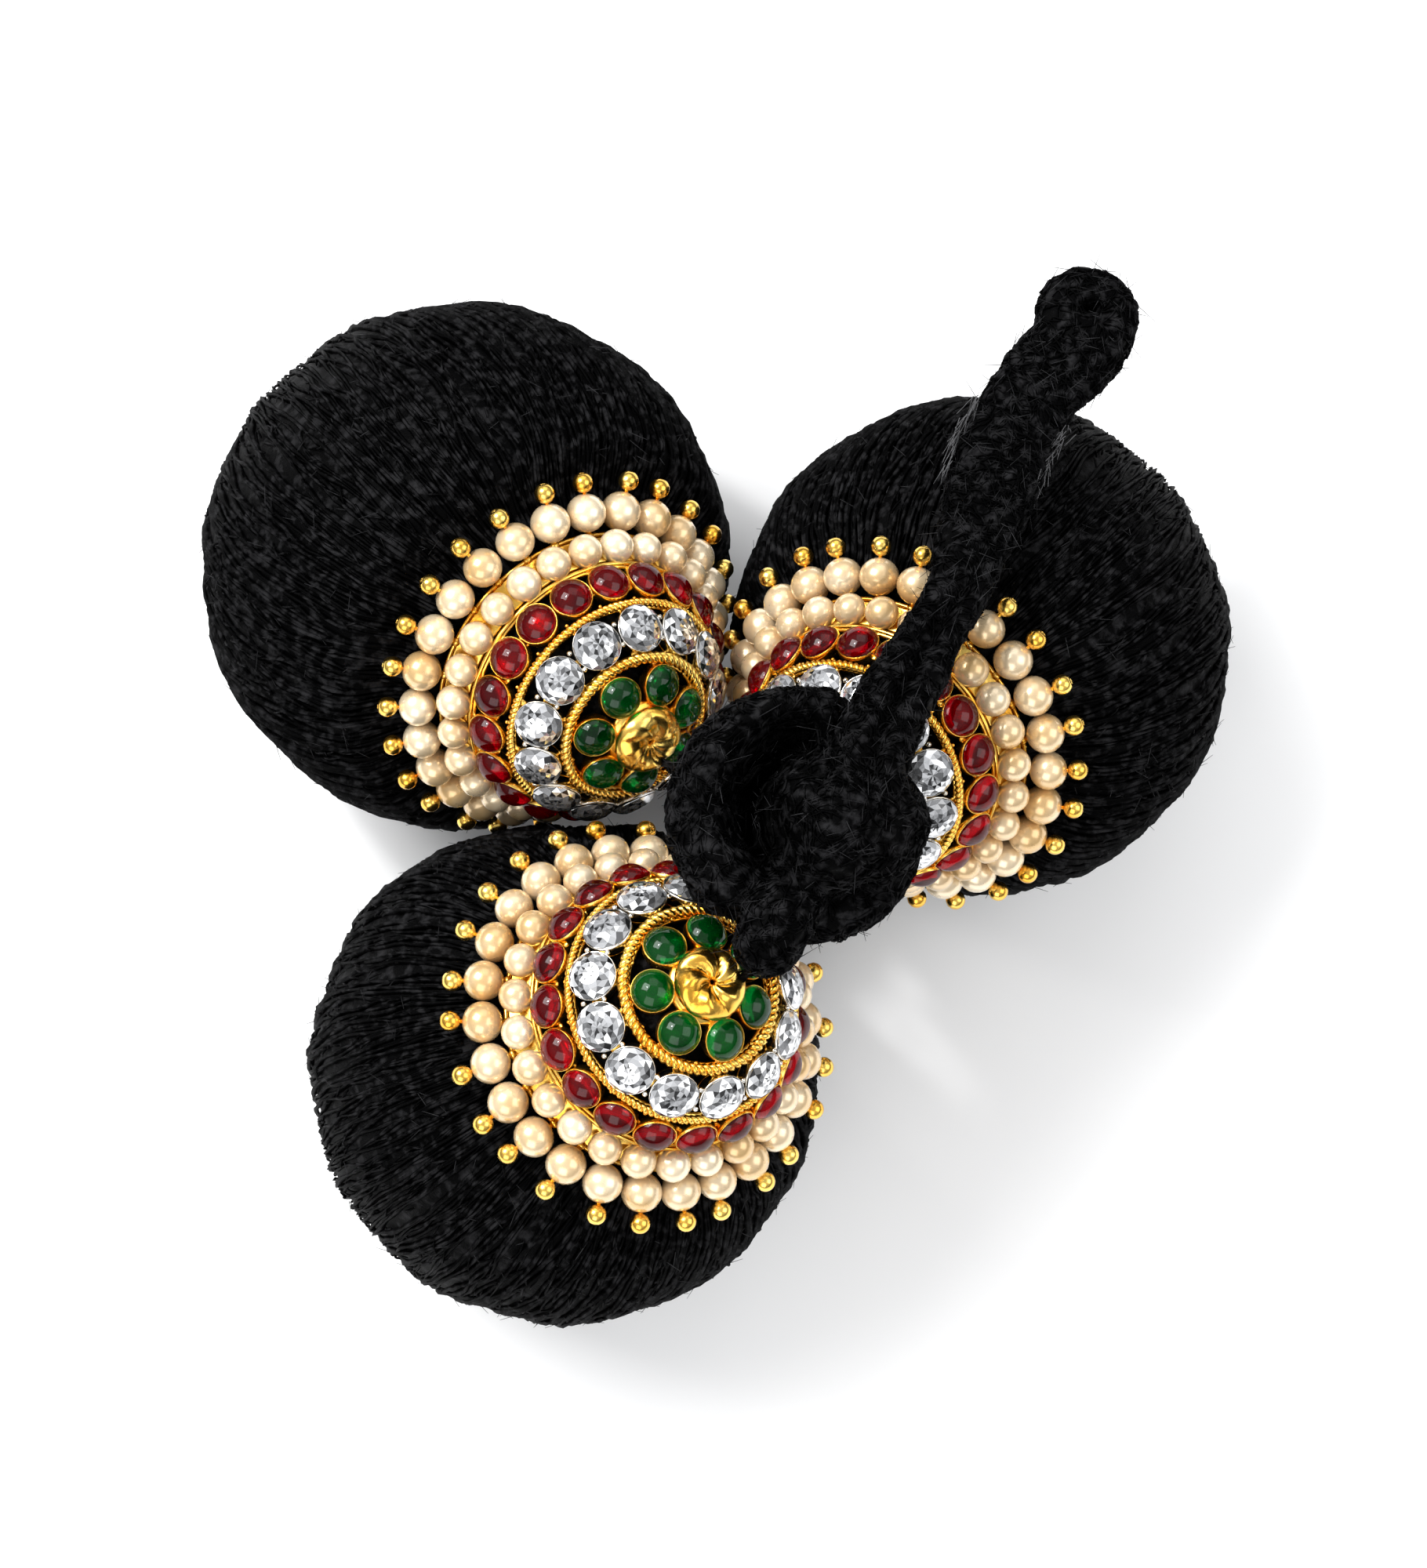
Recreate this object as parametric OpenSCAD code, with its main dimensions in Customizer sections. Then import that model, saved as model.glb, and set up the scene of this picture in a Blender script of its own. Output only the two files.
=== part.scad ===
// Hair tassel: three wool balls with jewelled caps, joined by a wound knot with a strap.
// Millimetres. It lies on z = 0 with its origin under the middle of its bounding box.

/* [Balls] */
// Radius of the left ball
left_ball_r = 26; // [25.8:0.1:26.1]
// Radius of the right ball
right_ball_r = 24.5; // [24.3:0.1:24.7]
// Radius of the front ball
front_ball_r = 24.6; // [24.4:0.1:24.8]
// Height of the soft lobes that the winding leaves on each ball
lobe_h = 0.22; // [0:0.02:0.26]
// Lobes around each ball
lobe_n = 11; // [7:1:13]
// How deep the floor flattens each ball
floor_press = 0.6; // [0.5:0.1:0.7]

/* [Cap] */
// Outer radius of the gold dome
dome_r = 13.1; // [13:0.05:13.15]
// Thickness of the dome's sheet
dome_wall = 0.7; // [0.6:0.05:0.75]
// Radius of the hole that the cord leaves through
cord_hole_r = 2.35; // [2.3:0.05:2.4]
// Thickness of the twisted wire rings
wire_d = 0.95; // [0.8:0.05:1]

/* [Stones] */
// Radius of the green and red stones
cabochon_r = 1.58; // [1.5:0.02:1.6]
// Height of the green and red stones
cabochon_h = 1.35; // [1.2:0.05:1.4]
// Radius of the white stones at the girdle
cut_r = 2.05; // [1.95:0.05:2.1]
// Green stones on each cap
green_n = 7; // [6:1:7]
// White stones on each cap
white_n = 13; // [11:1:13]
// Red stones on each cap
red_n = 19; // [17:1:19]

/* [Pearls] */
// Pearls in each row
pearl_n = 26; // [24:1:26]
// Radius of an outer pearl
pearl_r = 1.83; // [1.7:0.01:1.84]
// Radius of the inner row
inner_row_r = 1.28; // [1.2:0.02:1.28]
// Radius of a gold end bead
end_bead_r = 1.02; // [0.9:0.02:1.04]
// Thickness of a pin
pin_d = 0.44; // [0.4:0.02:0.46]

/* [Knot and strap] */
// Radius of a wound cord where it joins the knot
cord_r = 3.2; // [3:0.1:3.3]
// Radius of the wound middle of the knot
knob_r = 6.4; // [6.2:0.1:6.5]
// Radius of the strap's loop head
head_r = 5; // [4.8:0.1:5.2]
// Radius of the eye through the loop head
eye_r = 1; // [0.8:0.1:1.2]

/* [Hidden] */
// Columns: centre x, centre y, ball radius, tilt of the cap, its direction, height of its seat
BALLS = [
  [-25.8,  17.7, left_ball_r,  55.2,  -50.2, 21.15],
  [ 25.3,   9.9, right_ball_r, 49.2, -128.8, 20.8],
  [-15.7, -32.4, front_ball_r, 23.9,   11.8, 21.9]
];
// Where a neighbour's cap presses a ball in: angle from the ball's own axis, turn about it, depth
DENTS = [
  [0, 0, 0],
  [0, 0, 0],
  [79.4, 88.4, 1]
];
dent_flat = 12;
dent_edge = 27;
// Columns of the strap: middle x, y and z, half width, half thickness
STRAP = [
  [11.7, -13.7, 63.5, 3.7, 2.6],
  [13.2,  -8.6, 63.3, 3.7, 2.6],
  [15.2,  -4.1, 61.5, 3.5, 2.5],
  [17.0,  -1.0, 60.0, 3.3, 2.4],
  [19.0,   3.2, 58.0, 2.8, 2.3],
  [21.1,   6.7, 56.3, 2.9, 2.3],
  [22.2,  10.3, 55.0, 3.3, 2.4],
  [23.2,  13.3, 53.8, 3.7, 2.5],
  [24.7,  18.0, 51.8, 4.4, 2.6],
  [25.9,  22.0, 50.0, 4.5, 2.7],
  [28.0,  26.4, 48.2, 4.3, 2.7],
  [30.3,  31.1, 46.2, 4.1, 2.6],
  [31.9,  33.6, 45.0, 3.8, 2.3],
  [33.1,  35.4, 44.3, 3.3, 1.9]
];
// Middle of the loop head, how far it dips and the way that it points
HEAD = [34.8, 37.9, 43.5];
head_dip = 15;
head_turn = 56;
head_thick = 5;
// Columns of a stem: x, y, z and radius where it turns, after it has left its cap
STEMS = [
  [[-3.0, -8.2, 49.8, cord_r], [1.8, -11.9, 53.2, cord_r]],
  [[ 8.0, -12.2, 49.6, 2.6],   [8.0, -13.2, 51.6, cord_r]],
  [[ 2.3, -27.6, 61.2, cord_r], [4.6, -24.5, 61.2, cord_r], [5.8, -21.6, 59.9, cord_r]]
];
// The knot's rolled rim, and the coil under it: middle x, y and z, ring radius, cord radius
RIM = [6.1, -14.6, 60.4, 8.5, 3.2];
rim_from = 72;
rim_to = 225;
rim_end_r = 3.4;
COIL = [7.8, -15.8, 56, 6.5, 3.3];
core_r = 6;
// The wound middle of the knot, and the wound lump beside it with its radius
KNOB = [8.9, -15.5, 61.5];
SIDE_KNOB = [13.0, -15.4, 59.8, 5.2];

// Angles of the stone rows and of the wire rings, from the dome's axis
green_angle = 22.4;
white_angle = 45.1;
red_angle = 67;
// Turn of each cap's first green, white and red stone about its axis
TURNS = [
  [24, 6.2, 16.8],
  [24, 0.4, 3],
  [23, 25, 2.8]
];
wire_angles = [33.4, 56.4, 77.5];
// Rows around the rim: distance from the dome's axis and height over its seat
inner_row = [14.5, 0.95];
outer_row = [16.5, -1.8];
rim_wire = [14.5, -0.75];
rim_wire_d = 0.5;
// How far a pin sways from straight out, and the most of it that shows past its pearl
pin_sway = 11;
pin_spare = 0.25;
flange_r = 14.1;
flange_z = [-0.9, -0.5];
gap = 0.12;
stem_gap = 0.15;
neck_gap = 0.35;
neck_r = dome_r - dome_wall - neck_gap;
setting_wall = 0.22;
thin_wall = 0.18;
setting_h = 0.95;
setting_root = 0.35;
finial_h = 15.3;
stem_lower_r = 2;
round_fn = 48;
small_fn = 24;
wire_sides = 8;

// The plan is moved so that the bounding box is centred on the origin
plan_x = -((BALLS[0].x - left_ball_r) + (BALLS[1].x + right_ball_r)) / 2;
plan_y = -((BALLS[2].y - front_ball_r) + (BALLS[0].y + left_ball_r)) / 2;

function ball_r(i) = BALLS[i][2];
function seat(i) = BALLS[i][5];
function centre(i) = [BALLS[i].x, BALLS[i].y, ball_r(i) - floor_press];
function lerp(a, b, t) = a + (b - a) * t;
function smooth(t) = let (u = min(1, max(0, t))) u * u * (3 - 2 * u);
function dome_axis(i) = let (t = BALLS[i][3], a = BALLS[i][4]) [sin(t) * cos(a), sin(t) * sin(a), cos(t)];
// A repeatable number from -1 to 1 for the k-th bead of cap i
function jitter(i, k, s) = sin(137 * k + 71 * i + 53 * s + 29 * sin(97 * k + 31 * s));

// Places its children with the ball's centre at the origin and the cap's axis along +Z
module on_ball(i) {
  translate([plan_x, plan_y, 0])
    translate(centre(i))
      rotate([0, BALLS[i][3], BALLS[i][4]])
        children();
}

// Places its children with the centre of the dome's seat at the origin
module on_seat(i) {
  on_ball(i) translate([0, 0, seat(i)]) children();
}

// Repeats its children n times on the dome, on the ring at an angle from its axis
module around(angle, n, turn = 0) {
  for (k = [0:n - 1])
    rotate([0, angle, k * 360 / n + turn])
      children();
}

module ring(place, wire_r) {
  rotate_extrude($fn = round_fn * 2)
    translate([place.x, 0])
      circle(r = wire_r, $fn = small_fn);
}

// Ball: a lathe form about the cap's axis with shallow lobes, pressed in under the pearls

ball_steps = 17;
neck_steps = 4;
ball_sides = 44;
press_angle = 45;
full_angle = 58;
floor_cut = 30;
function pressed_r(i) = norm([outer_row.x, seat(i) + outer_row.y]) - pearl_r - gap;
function neck_angle(i) = atan2(neck_r, seat(i) - 1);
function main_r(i, a) =
  lerp(pressed_r(i), ball_r(i), smooth((a - press_angle) / (full_angle - press_angle)));
function lobe(a, turn) = lobe_h * cos(lobe_n * turn) * smooth((a - full_angle) / 25) * sin(a);
function toward(a, turn) = [sin(a) * cos(turn), sin(a) * sin(turn), cos(a)];
function dent(i, a, turn) =
  let (off = acos(min(1, toward(a, turn) * toward(DENTS[i][0], DENTS[i][1]))))
    DENTS[i][2] * smooth((dent_edge - off) / (dent_edge - dent_flat));
function main_point(i, a, turn) = (main_r(i, a) + lobe(a, turn) - dent(i, a, turn)) * toward(a, turn);
function neck_point(i, a, turn) = [0, 0, seat(i)] + neck_r * toward(a, turn);

module wool_ball(i) {
  turns = [for (k = [0:ball_sides - 1]) k * 360 / ball_sides];
  main_rings = [for (s = [1:ball_steps]) let (a = lerp(180, neck_angle(i), s / ball_steps))
    for (t = turns) main_point(i, a, t)];
  neck_rings = [for (s = [0:neck_steps - 1]) let (a = 90 * (1 - s / neck_steps))
    for (t = turns) neck_point(i, a, t)];
  bottom = [[0, 0, -ball_r(i)]];
  top = [[0, 0, seat(i) + neck_r]];
  points = concat(bottom, main_rings, neck_rings, top);
  rings = ball_steps + neck_steps;
  last = len(points) - 1;
  function at(s, k) = 1 + s * ball_sides + k % ball_sides;
  faces = concat(
    [for (k = [0:ball_sides - 1]) [0, at(0, k), at(0, k + 1)]],
    [for (s = [0:rings - 2]) for (k = [0:ball_sides - 1])
      each [[at(s, k), at(s + 1, k), at(s + 1, k + 1)], [at(s, k), at(s + 1, k + 1), at(s, k + 1)]]],
    [for (k = [0:ball_sides - 1]) [at(rings - 1, k + 1), at(rings - 1, k), last]]);
  color("black")
    difference() {
      on_ball(i) polyhedron(points, faces);
      translate([plan_x + BALLS[i].x, plan_y + BALLS[i].y, -floor_cut / 2])
        cube(floor_cut, center = true);
    }
}

// Cap: gold dome with its rim flange, wire rings, settings and finial cup

// Section of the finial's cup, turned about the axis, past the edge of the cord hole
FINIAL = [
  [cord_hole_r, 12.2], [3.2, 12.4], [2.75, 13.3], [3.05, 14.3], [3.55, finial_h - 0.15],
  [3.35, finial_h], [2.7, 14.4], [cord_hole_r, 13.6]
];
// The cut-through gaps between the green stones: angle from the axis and radius
GREEN_GAP = [29.6, 0.7];
// How far the white stones' bezels lie under the girdle, and how much lower they are
bezel_in = 0.1;
bezel_drop = 0.25;
low_h = setting_h - bezel_drop;
sheet_floor = 0.05;

// The dome's section: sheet, rim flange, wire rings and the finial's cup, turned about the axis
module dome_section() {
  intersection() {
    difference() {
      circle(r = dome_r, $fn = round_fn * 2);
      circle(r = dome_r - dome_wall, $fn = round_fn * 2);
    }
    translate([cord_hole_r, flange_z[0]])
      square(2 * dome_r);
  }
  translate([dome_r - dome_wall, flange_z[0]])
    square([flange_r - dome_r + dome_wall, flange_z[1] - flange_z[0]]);
  for (a = wire_angles)
    translate([dome_r * sin(a), dome_r * cos(a)])
      circle(r = wire_d / 2, $fn = wire_sides);
  polygon(FINIAL);
}

// The outside of a stone's cup, from inside the sheet up to its lip
module cup(inner_r, wall, h) {
  translate([0, 0, dome_r - setting_root])
    cylinder(h = h + setting_root, r = inner_r + wall, $fn = round_fn);
}

// The room inside a stone's cup
module pocket(inner_r) {
  translate([0, 0, dome_r + sheet_floor])
    cylinder(h = 2 * setting_h, r = inner_r, $fn = round_fn);
}

// A hole through the sheet
module hole(r) {
  translate([0, 0, dome_r - 1.5 * dome_wall])
    cylinder(h = 4 * dome_wall, r = r, $fn = small_fn);
}

module dome(i) {
  color("goldenrod")
    on_seat(i)
      difference() {
        union() {
          rotate_extrude($fn = round_fn * 2) dome_section();
          around(green_angle, green_n, TURNS[i].x) cup(cabochon_r + gap, setting_wall, setting_h);
          around(red_angle, red_n, TURNS[i].z) cup(cabochon_r + gap, thin_wall, setting_h);
          around(white_angle, white_n, TURNS[i].y) cup(cut_r - bezel_in, setting_wall, low_h);
        }
        around(green_angle, green_n, TURNS[i].x) pocket(cabochon_r + gap);
        around(red_angle, red_n, TURNS[i].z) pocket(cabochon_r + gap);
        around(white_angle, white_n, TURNS[i].y) pocket(cut_r - bezel_in);
        around(GREEN_GAP.x, green_n, TURNS[i].x + 180 / green_n) hole(GREEN_GAP.y);
      }
}

// A domed stone with a flat back
module cabochon() {
  edge_h = 0.35;
  crown_r = (cabochon_r * cabochon_r + pow(cabochon_h - edge_h, 2)) / (2 * (cabochon_h - edge_h));
  translate([0, 0, dome_r + sheet_floor + gap])
    intersection() {
      translate([0, 0, cabochon_h - crown_r])
        sphere(r = crown_r, $fn = round_fn);
      cylinder(h = 2 * cabochon_h, r = cabochon_r, $fn = round_fn);
    }
}

// A cut stone: eight crown facets up to the table, eight pavilion facets below the girdle
module cut_stone() {
  culet_r = 1.2;
  table_r = 1.2;
  pavilion_h = 0.7;
  crown_h = 0.7;
  translate([0, 0, dome_r + sheet_floor + 2 * gap]) {
    cylinder(h = pavilion_h, r1 = culet_r, r2 = cut_r, $fn = 8);
    translate([0, 0, pavilion_h])
      cylinder(h = crown_h, r1 = cut_r, r2 = table_r, $fn = 8);
  }
}

module green_stones(i) {
  color("darkgreen") on_seat(i) around(green_angle, green_n, TURNS[i].x) cabochon();
}

module white_stones(i) {
  color("white") on_seat(i) around(white_angle, white_n, TURNS[i].y) cut_stone();
}

module red_stones(i) {
  color("darkred") on_seat(i) around(red_angle, red_n, TURNS[i].z) cabochon();
}

// Inner row: the closed form of the string of small pearls
module inner_pearls(i) {
  color("antiquewhite")
    on_seat(i)
      translate([0, 0, inner_row.y])
        ring(inner_row, inner_row_r);
}

// Puts its children at outer pearl k with +X along its pin, away from the cap
module at_pearl(i, k) {
  dip = atan2(rim_wire.y - outer_row.y, outer_row.x - rim_wire.x);
  sway = pin_sway * jitter(i, k, 1);
  rotate([0, 0, (k + 0.5) * 360 / pearl_n])
    translate([outer_row.x, 0, outer_row.y])
      rotate([0, dip, 0])
        rotate([0, 0, sway])
          children();
}

module outer_pearls(i) {
  hole_r = pin_d / 2 + gap;
  color("antiquewhite")
    on_seat(i)
      for (k = [0:pearl_n - 1])
        at_pearl(i, k)
          rotate([0, 90, 0])
            rotate_extrude($fn = round_fn)
              intersection() {
                circle(r = pearl_r, $fn = round_fn);
                translate([hole_r, -2 * pearl_r])
                  square(4 * pearl_r);
              }
}

// Pins: the rim wire, a pin through each outer pearl and a gold bead on its end
module pins(i) {
  root = norm([outer_row.x - rim_wire.x, outer_row.y - rim_wire.y]);
  color("gold")
    on_seat(i)
      union() {
        translate([0, 0, rim_wire.y])
          ring(rim_wire, rim_wire_d / 2);
        for (k = [0:pearl_n - 1])
          let (bead_at = pearl_r + end_bead_r + gap + pin_spare * abs(jitter(i, k, 2)))
            at_pearl(i, k)
              rotate([0, 90, 0])
                rotate_extrude($fn = round_fn) {
                  translate([0, -root])
                    square([pin_d / 2, root + bead_at]);
                  translate([0, bead_at])
                    intersection() {
                      circle(r = end_bead_r, $fn = round_fn);
                      translate([0, -2 * end_bead_r])
                        square(4 * end_bead_r);
                    }
                }
      }
}

// A closed form swept through a list of rings of points
module sweep(rings) {
  n = len(rings[0]);
  last = len(rings) - 1;
  function at(s, k) = s * n + k % n;
  sides = [for (s = [0:last - 1]) for (k = [0:n - 1])
    each [[at(s, k), at(s, k + 1), at(s + 1, k + 1)], [at(s, k), at(s + 1, k + 1), at(s + 1, k)]]];
  root = [[for (k = [0:n - 1]) at(0, n - 1 - k)]];
  tip = [[for (k = [0:n - 1]) at(last, k)]];
  polyhedron([for (r = rings) each r], concat(sides, root, tip));
}

// Stem: a wound cord from inside the cap to its place in the knot

stem_sides = 16;
foot_gap = 0.3;
function on_axis(i, h) = centre(i) + (seat(i) + h) * dome_axis(i);
// Rows of the stem: x, y, z and radius, with the two inside the cap worked out
function stem_rows(i) = let (foot = on_axis(i, neck_r + foot_gap), mouth = on_axis(i, finial_h + foot_gap))
  concat([concat(foot, [stem_lower_r]), concat(mouth, [stem_lower_r])], STEMS[i]);
// The ring at row k, square to the mean of the ways in and out
function stem_ring(rows, k, grow) =
  let (
    before = place(rows[max(0, k - 1)]),
    here = place(rows[k]),
    after = place(rows[min(len(rows) - 1, k + 1)]),
    way_in = k == 0 ? unit(after - here) : unit(here - before),
    way_out = k == len(rows) - 1 ? way_in : unit(after - here),
    along = unit(way_in + way_out),
    side = unit(cross(along, [1, 0, 0])),
    up = cross(side, along),
    r = rows[k][3] + grow
  )
    [for (t = [0:stem_sides - 1]) let (a = t * 360 / stem_sides)
      here + side * r * cos(a) + up * r * sin(a)];

module stem_form(i, grow = 0) {
  rows = stem_rows(i);
  translate([plan_x, plan_y, 0])
    sweep([for (k = [0:len(rows) - 1]) stem_ring(rows, k, grow)]);
}

module stem(i) {
  color("black") stem_form(i);
}

// Knot: the rolled rim, the coil under it and the wound middle, with a socket for each cord
module knot() {
  color("black")
    difference() {
      translate([plan_x, plan_y, 0])
        union() {
          translate([RIM.x, RIM.y, RIM.z])
            rotate([0, 0, rim_from]) {
              rotate_extrude(angle = rim_to - rim_from, $fn = round_fn * 2)
                translate([RIM[3], 0])
                  circle(r = RIM[4], $fn = round_fn);
              for (a = [0, rim_to - rim_from])
                rotate([0, 0, a])
                  translate([RIM[3], 0, 0])
                    sphere(r = rim_end_r, $fn = round_fn);
            }
          translate([COIL.x, COIL.y, COIL.z]) {
            ring([COIL[3]], COIL[4]);
            sphere(r = core_r, $fn = round_fn);
          }
          translate(KNOB)
            sphere(r = knob_r, $fn = round_fn);
          translate(place(SIDE_KNOB))
            sphere(r = SIDE_KNOB[3], $fn = round_fn);
        }
      for (i = [0:2])
        stem_form(i, stem_gap);
      strap_seat();
    }
}

// The room that the knot leaves for the root of the strap
seat_gap = 0.25;
seat_l = 16;
module strap_seat() {
  p = place(STRAP[0]);
  d = unit(place(STRAP[1]) - p);
  half_w = STRAP[0][3] + seat_gap;
  half_t = STRAP[0][4] + seat_gap;
  translate([plan_x, plan_y, 0])
    translate(p - seat_gap * d)
      rotate([0, acos(d.z) - 90, atan2(d.y, d.x)])
        translate([0, -half_w, -half_t])
          cube([seat_l, 2 * half_w, 4 * half_t]);
}

// Strap: rings swept along the table, with a groove between the two wound cords

strap_sides = 16;
strap_fine = 3;
groove = 0.22;
function place(row) = [row[0], row[1], row[2]];
function unit(v) = v / norm(v);
function clamp_row(k) = STRAP[min(len(STRAP) - 1, max(0, k))];
// Smooth curve through the table's rows
function strap_row(u) =
  let (
    k = floor(u),
    t = u - k,
    a = clamp_row(k - 1),
    b = clamp_row(k),
    c = clamp_row(k + 1),
    d = clamp_row(k + 2)
  )
    0.5 * (2 * b + (c - a) * t + (2 * a - 5 * b + 4 * c - d) * t * t + (3 * b - a - 3 * c + d) * t * t * t);
function strap_ring(u) =
  let (
    row = strap_row(u),
    along = unit(place(strap_row(u + 0.05)) - place(strap_row(u - 0.05))),
    side = unit(cross(along, [0, 0, 1])),
    up = cross(side, along)
  )
    [for (k = [0:strap_sides - 1]) let (
        a = k * 360 / strap_sides,
        lift = row[4] * sin(a) * (1 - groove * pow(abs(sin(a)), 8))
      )
      place(row) + side * row[3] * cos(a) + up * lift];

module strap_band() {
  sweep([for (s = [0:(len(STRAP) - 1) * strap_fine]) strap_ring(s / strap_fine)]);
}

// Puts its children at the middle of the loop head, with the eye along +Z
module at_head() {
  translate(HEAD)
    rotate([0, head_dip, head_turn])
      children();
}

// Loop head: a round-edged disc around the eye, as one lathe form
module loop_head() {
  edge = head_thick / 2;
  rotate_extrude($fn = round_fn * 2)
    intersection() {
      union() {
        translate([head_r - edge, 0])
          circle(r = edge, $fn = small_fn);
        translate([0, -edge])
          square([head_r - edge, head_thick]);
      }
      translate([eye_r, -head_thick])
        square([head_r, 2 * head_thick]);
    }
}

module strap() {
  color("black")
    translate([plan_x, plan_y, 0])
      union() {
        strap_band();
        at_head() loop_head();
      }
}

wool_ball(0);  // ball_left
wool_ball(1);  // ball_right
wool_ball(2);  // ball_front
dome(0);  // cap_left_dome
dome(1);  // cap_right_dome
dome(2);  // cap_front_dome
green_stones(0);  // cap_left_green_stones
green_stones(1);  // cap_right_green_stones
green_stones(2);  // cap_front_green_stones
white_stones(0);  // cap_left_white_stones
white_stones(1);  // cap_right_white_stones
white_stones(2);  // cap_front_white_stones
red_stones(0);  // cap_left_red_stones
red_stones(1);  // cap_right_red_stones
red_stones(2);  // cap_front_red_stones
inner_pearls(0);  // cap_left_inner_pearls
inner_pearls(1);  // cap_right_inner_pearls
inner_pearls(2);  // cap_front_inner_pearls
outer_pearls(0);  // cap_left_outer_pearls
outer_pearls(1);  // cap_right_outer_pearls
outer_pearls(2);  // cap_front_outer_pearls
pins(0);  // cap_left_pins
pins(1);  // cap_right_pins
pins(2);  // cap_front_pins
stem(0);  // stem_left
stem(1);  // stem_right
stem(2);  // stem_front
knot();
strap();
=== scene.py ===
# Hair tassel: wool balls, jewelled caps, knot and strap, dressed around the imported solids
import math

import bpy
import numpy as np
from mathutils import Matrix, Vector
from mathutils.bvhtree import BVHTree


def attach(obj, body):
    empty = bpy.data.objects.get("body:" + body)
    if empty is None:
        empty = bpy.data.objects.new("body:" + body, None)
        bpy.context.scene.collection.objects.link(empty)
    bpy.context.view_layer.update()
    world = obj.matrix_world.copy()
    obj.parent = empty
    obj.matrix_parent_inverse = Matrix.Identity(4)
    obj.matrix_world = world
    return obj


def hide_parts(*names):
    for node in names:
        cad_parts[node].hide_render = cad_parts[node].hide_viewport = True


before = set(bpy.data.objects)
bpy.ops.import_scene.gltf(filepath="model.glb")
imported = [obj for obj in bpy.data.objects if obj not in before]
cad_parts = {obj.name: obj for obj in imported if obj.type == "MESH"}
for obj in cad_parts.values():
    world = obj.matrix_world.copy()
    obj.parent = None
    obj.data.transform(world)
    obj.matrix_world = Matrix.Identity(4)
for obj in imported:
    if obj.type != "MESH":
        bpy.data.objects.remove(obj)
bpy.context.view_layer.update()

# Sizes in millimetres and angles in degrees, as in the part's source
MM = 0.001
PLAN = np.array([1.0, 6.65, 0.0])
# Each ball: centre x and y, radius, tilt of its cap, direction of the tilt, height of the cap's seat
BALLS = {
    "left": (-25.8, 17.7, 26.0, 55.2, -50.2, 21.15),
    "right": (25.3, 9.9, 24.5, 49.2, -128.8, 20.8),
    "front": (-15.7, -32.4, 24.6, 23.9, 11.8, 21.9),
}
# Turn of each cap's first green, white and red stone about its axis
TURNS = {"left": (24, 6.2, 16.8), "right": (24, 0.4, 3), "front": (23, 25, 2.8)}
# Columns of the thick end of a stem: x, y, z and radius, up to its place in the knot
STEMS = {
    "left": ((0.3, -10.8, 51.6, 2.4), (1.8, -11.9, 53.2, 3.2)),
    "right": ((8.0, -12.2, 49.6, 2.4), (8.0, -13.2, 51.6, 3.2)),
    "front": ((3.6, -26.5, 61.2, 3.1), (4.8, -24.2, 61.2, 3.2), (5.8, -21.6, 59.9, 3.2)),
}
# Where a neighbour's cap presses a ball in: angle from its axis, turn about it, depth
DENTS = {"left": (0, 0, 0), "right": (0, 0, 0), "front": (79.4, 88.4, 1.0)}
DENT_FLAT, DENT_EDGE = 12, 27
# How deep a ball is pressed flat by the floor, and the low lobes of its wound wool
FLOOR_PRESS = 0.6
LOBE_H, LOBE_N, LOBE_FADE = 0.22, 11, 25
# The angles between which a ball swells from the flat under its pearls to its full radius
PRESS_ANGLE, FULL_ANGLE = 45, 58
PEARL_CLEAR = 0.12
DOME_R, DOME_WALL = 13.1, 0.6
NECK_R = 12.05
# Rings of stones and pearls: how many, and their angles from the cap's axis
GREEN_N, WHITE_N, RED_N, PEARL_N = 7, 13, 19, 26
GREEN_ANGLE, WHITE_ANGLE, RED_ANGLE = 22.4, 45.1, 67.6
TWIST_INNER, TWIST_OUTER, SMOOTH_WIRE = 33.4, 56.4, 77.5
CABOCHON_R, CABOCHON_H, CABOCHON_EDGE, CUT_R = 1.95, 1.55, 0.35, 2.26
BEZEL_IN, BEZEL_OUT, BEZEL_H = 1.96, 2.04, 0.54
# How far the stones' undersides and the cut stones' girdles stand above the dome
STONE_LIFT, CUT_LIFT = 0.17, 0.95
# Rings of pearls and their wire: radius, and height above the cap's seat
INNER_ROW = (14.2, 1.75)
OUTER_ROW = (16.25, -1.5)
RIM_WIRE = (14.2, -0.7)
RIM_WIRE_R = 0.25
INNER_PEARL_R, OUTER_PEARL_R = 1.66, 1.94
END_BEAD_R, PIN_R, SPACER_R = 0.97, 0.22, 0.5
# A pin's sway from straight out, in degrees, and how deep it enters its end bead
PIN_SWAY, PIN_ENTRY = 11, 0.5
# Loose hairs: radius at the root and at the tip
HAIR_R = (0.045, 0.02)
TAU = 2 * math.pi


def unit(v):
    return v / np.linalg.norm(v, axis=-1, keepdims=True)


def smooth(t):
    u = np.clip(t, 0, 1)
    return u * u * (3 - 2 * u)


def turn_z(deg):
    c, s = math.cos(math.radians(deg)), math.sin(math.radians(deg))
    return np.array([[c, -s, 0], [s, c, 0], [0, 0, 1]])


def turn_y(deg):
    c, s = math.cos(math.radians(deg)), math.sin(math.radians(deg))
    return np.array([[c, 0, s], [0, 1, 0], [-s, 0, c]])


def toward(angle, turn):
    """Unit directions at an angle from +Z and a turn about it, in degrees."""
    a, t = np.radians(angle), np.radians(turn)
    return np.stack(np.broadcast_arrays(np.sin(a) * np.cos(t), np.sin(a) * np.sin(t), np.cos(a)), -1)


# Building forms


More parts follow.
